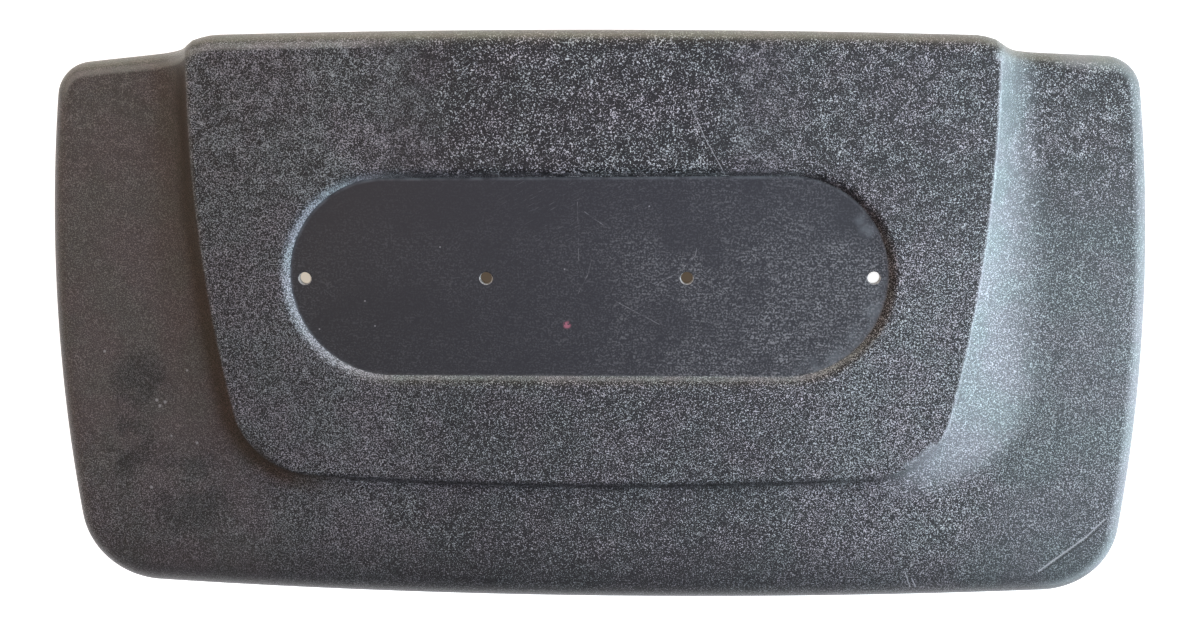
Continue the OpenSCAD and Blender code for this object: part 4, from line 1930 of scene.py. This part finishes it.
@dataclass
class Cover:
    """The whole moulding, with its finishes."""

    form: CoverForm
    seat: Seat
    top: float
    finishes: tuple[Finish, ...] = (GrainedPlastic(), SeatPlastic(), UndersidePlastic(), PinPlastic())
    merge: float = 1e-6
    smooth_angle: float = 45.0
    floor_share: float = 0.3
    pin_top: float = -1e-5
    edge_reach: float = 0.0011
    foot_off: float = 0.001
    foot_reach: float = 0.0022
    beside_reach: float = 0.014
    rim_fade: float = 0.003

    def build(self) -> bpy.types.Object:
        """Models the two skins as one closed shell and dresses it.

        Returns:
            The cover.
        """
        plan = Plan(self.form)
        self.seat.aim(plan.panel_ring)
        crest = max(row[:, 2].max() for row in Skin(plan, self.seat, 0.0).border_rows())
        self.form.panel_front_z -= max(0.0, crest - self.top)
        outer = Skin(plan, self.seat, 0.0).build("cover_moulding")
        inner = Skin(plan, self.seat, self.form.wall).build("inner_skin")
        self.dress(outer, inner)
        self.mark_finish(outer, plan)
        only(inner)
        outer.select_set(True)
        bpy.context.view_layer.objects.active = outer
        bpy.ops.object.join()
        bpy.ops.object.mode_set(mode="EDIT")
        bpy.ops.mesh.select_all(action="SELECT")
        bpy.ops.mesh.remove_doubles(threshold=self.merge)
        bpy.ops.mesh.normals_make_consistent(inside=False)
        bpy.ops.object.mode_set(mode="OBJECT")
        bpy.ops.object.shade_smooth_by_angle(angle=math.radians(self.smooth_angle))
        for loop in Loop:
            outer.data.attributes.remove(outer.data.attributes[loop.value])
        return outer

    def dress(self, outer: bpy.types.Object, inner: bpy.types.Object) -> None:
        """Gives both skins the moulding's materials, face by face.

        Args:
            outer: Outer skin.
            inner: Inner skin.
        """
        effects = Effects()
        materials = [finish.material(effects, self.seat) for finish in self.finishes]
        for piece in (outer, inner):
            for material in materials:
                piece.data.materials.append(material)
        for face in outer.data.polygons:
            face.material_index = self.surface_at(face.center).value
        for face in inner.data.polygons:
            face.material_index = Surface.UNDERSIDE.value

    def surface_at(self, point: Vector) -> Surface:
        """Tells which surface of the outer skin a face belongs to.

        Args:
            point: Middle of the face.

        Returns:
            The surface.
        """
        seat, height = self.seat, self.seat.height_of(point)
        y = (point - seat.centre).y
        reach = math.hypot(max(0.0, abs(point.x) - seat.half_len), y)
        pin_reach = seat.pin_r + seat.pin_break
        by_pin = any(math.hypot(point.x - pin, y) < pin_reach for pin in seat.pins_x)
        if by_pin and height < self.pin_top - seat.depth and reach < seat.floor_r:
            return Surface.PIN
        floor_top = -seat.depth + seat.floor_fillet * self.floor_share
        on_floor = -seat.depth - self.form.wall / 2 < height < floor_top
        return Surface.SEAT if on_floor and reach < seat.floor_r + seat.floor_fillet else Surface.GRAINED

    def mark_finish(self, piece: bpy.types.Object, plan: Plan) -> None:
        """Gives each point the marks that the grained finish reads, which rise to 1.

        Args:
            piece: Outer skin.
            plan: Plan that it is laid on.
        """
        places = places_of(piece)
        off, run = self.form.off_panel(places[:, :2]), self.form.flank_run(places[:, :2])
        marks = {
            Reading.EDGE: 1.0 - np.abs(off) / self.edge_reach,
            Reading.FOOT: 1.0 - np.abs(off - self.foot_off) / self.foot_reach,
            Reading.FLANK: np.where(off > 0.0, 1.0 - off / run, 0.0),
            Reading.BESIDE: off / self.beside_reach,
            Reading.RIM: self.rim_share(places, plan.border),
        }
        for mark, values in marks.items():
            mark_points(piece, mark.value, "FLOAT", np.clip(values, 0.0, 1.0))

    def rim_share(self, places: Points, border: Points) -> Points:
        """Share of the outer rounding's width that points lie beyond its start.

        Args:
            places: Points of the outer skin.
            border: Outline in plan.

        Returns:
            A share for each point: 1 at the outline, and 0 on the top and down on the skirt.
        """
        tree = KDTree(len(border))
        for number, (x, y) in enumerate(border[:, :2]):
            tree.insert((x, y, 0.0), number)
        tree.balance()
        gap = np.array([tree.find((x, y, 0.0))[2] for x, y, _ in places])
        below = self.form.top_z(places[:, :2]) - places[:, 2] - self.form.round_side
        return (1.0 - gap / self.form.round_side) * np.clip(1.0 - below / self.rim_fade, 0.0, 1.0)


@dataclass(frozen=True)
class Lamp:
    """A soft box: a square area lamp aimed at a point."""

    name: str
    place: tuple[float, float, float]
    aim: tuple[float, float, float]
    size: tuple[float, float]
    power: float
    colour: tuple[float, float, float]

    def hang(self) -> None:
        """Adds the lamp."""
        data = bpy.data.lights.new(self.name, "AREA")
        data.shape, data.size, data.size_y = "RECTANGLE", *self.size
        data.energy, data.color = self.power, self.colour
        lamp = bpy.data.objects.new(self.name, data)
        bpy.context.scene.collection.objects.link(lamp)
        lamp.location = self.place
        lamp.rotation_euler = (Vector(self.aim) - Vector(self.place)).to_track_quat("-Z", "Y").to_euler()


@dataclass
class Studio:
    """Pale floor, soft lamps and the camera."""

    camera_place: tuple[float, float, float] = (0.0361, 0.0643, 0.6)
    camera_turn: tuple[float, float, float] = (-5.982, 3.083, -0.269)
    focal_px: float = 1245.1
    image_px: float = 1200.0
    sensor_mm: float = 36.0
    floor_size: float = 8.0
    white: Colour = (1.0, 1.0, 1.0, 1.0)
    black: Colour = (0.0, 0.0, 0.0, 1.0)
    floor_colour: Colour = (0.8, 0.8, 0.8, 1.0)
    shaded_ground_glow_left: Colour = (0.6, 0.53, 0.44, 1.0)
    shaded_ground_glow_middle: Colour = (0.1, 0.076, 0.055, 1.0)
    ground_left_end: Range = (-0.19, -0.17)
    ground_turn: Range = (-0.12, -0.07)
    ground_right_end: Range = (0.12, 0.06)
    ground_half_depth: Range = (0.09, 0.07)
    world_level: float = 0.01
    world_colour: Colour = (1.0, 0.88, 0.8, 1.0)
    lamps: tuple[Lamp, ...] = (
        Lamp("window", (0.97, -0.12, 0.48), (0.1, -0.05, 0.03), (0.28, 1.3), 19.5, (0.78, 0.9, 1.0)),
        Lamp("overhead", (0.1, -0.1, 1.4), (0.0, 0.0, 0.03), (1.2, 1.2), 4.2, (0.75, 0.7, 1.0)),
        Lamp("left", (-0.95, 0.1, 0.9), (0.0, 0.0, 0.03), (0.7, 1.6), 4.6, (1.0, 0.7, 0.42)),
        Lamp("rear", (0.0, 1.0, 0.2), (0.0, 0.1, 0.04), (1.6, 0.35), 9.5, (1.0, 0.9, 0.72)),
        Lamp("rear_left", (-0.58, 0.8, 1.0), (-0.1, 0.1, 0.04), (0.5, 0.3), 1.3, (1.0, 0.97, 0.86)),
    )

    def build(self) -> None:
        """Sets up everything round the object."""
        self.lay_floor()
        self.set_world()
        for lamp in self.lamps:
            lamp.hang()
        self.set_camera()
        bpy.context.scene.view_settings.view_transform = "Standard"

    def lay_floor(self) -> None:
        """Lays a white floor, which the camera sees bright, and under the cover a black patch that glows
        brown, paler to the left, painted in place of the shaded ground seen through the pin holes.
        """
        deselect_all()
        bpy.ops.mesh.primitive_plane_add(size=self.floor_size)
        floor = bpy.context.object
        floor.name = "floor"
        material = bpy.data.materials.new("floor_white")
        material.use_nodes = True
        bench = Bench(material.node_tree)
        shader = bench.tree.nodes["Principled BSDF"]
        shader.inputs["Roughness"].default_value = 1.0
        shader.inputs["Specular IOR Level"].default_value = 0.0
        rays = bench.add("ShaderNodeLightPath").outputs
        seen = bench.most([rays["Is Camera Ray"], rays["Is Glossy Ray"], rays["Is Transmission Ray"]])
        place = bench.add("ShaderNodeSeparateXYZ", {0: bench.add("ShaderNodeTexCoord").outputs["Object"]})
        x, y = place.outputs["X"], place.outputs["Y"]
        # Under the cover the floor is black and glows brown and beige: painted shade of the ground there
        ends = [bench.spread(x, self.ground_right_end), bench.spread(x, self.ground_left_end)]
        below = bench.product([*ends, bench.spread(bench.math("ABSOLUTE", y), self.ground_half_depth)])
        ground = bench.blend(bench.spread(x, self.ground_turn), self.shaded_ground_glow_left, self.shaded_ground_glow_middle)
        bench.feed(shader.inputs["Base Color"], bench.blend(below, self.floor_colour, self.black))
        glowing = bench.blend(below, self.white, ground)
        glow = bench.add("ShaderNodeEmission", {"Color": glowing, "Strength": seen})
        both = bench.add("ShaderNodeAddShader", {0: shader.outputs[0], 1: glow.outputs[0]})
        bench.feed(bench.tree.nodes["Material Output"].inputs["Surface"], both.outputs[0])
        floor.data.materials.append(material)

    def set_world(self) -> None:
        """Gives the world a plain grey that lights, and white behind the object."""
        world = bpy.data.worlds.new("studio")
        bpy.context.scene.world = world
        world.use_nodes = True
        bench = Bench(world.node_tree)
        rays = bench.add("ShaderNodeLightPath").outputs
        seen = bench.most([rays["Is Camera Ray"], rays["Is Transmission Ray"]])
        background = bench.tree.nodes["Background"]
        bench.feed(background.inputs["Color"], bench.blend(seen, self.world_colour, self.white))
        bench.feed(background.inputs["Strength"], bench.spread(seen, (0.0, 1.0), (self.world_level, 1.0)))

    def set_camera(self) -> None:
        """Puts the camera where the photograph was taken from."""
        data = bpy.data.cameras.new("camera")
        data.sensor_width = self.sensor_mm
        data.lens = self.focal_px / self.image_px * self.sensor_mm
        camera = bpy.data.objects.new("camera", data)
        bpy.context.scene.collection.objects.link(camera)
        rx, ry, rz = (math.radians(a) for a in self.camera_turn)
        turn = Matrix.Rotation(ry, 4, "Y") @ Matrix.Rotation(rx, 4, "X") @ Matrix.Rotation(rz, 4, "Z")
        camera.matrix_world = Matrix.Translation(self.camera_place) @ turn
        bpy.context.scene.camera = camera


def main() -> None:
    """Builds the cover and its studio."""
    logging.basicConfig(level=logging.INFO, format="%(name)s: %(message)s")
    low, high = cad_box
    flare = CoverForm.flare
    form = CoverForm(half_w=(high.x - low.x) / 2 - flare, depth=high.y - low.y - 2 * flare)
    seat = Seat.from_record(form, frame["record"]["mounts"])
    cover = Cover(form, seat, high.z).build()
    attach(cover, "root")
    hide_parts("cover")
    triangles = sum(len(face.vertices) - 2 for face in cover.data.polygons)
    LOG.info("%s: %d triangles", cover.name, triangles)
    Studio().build()


if __name__ == "__main__":
    main()
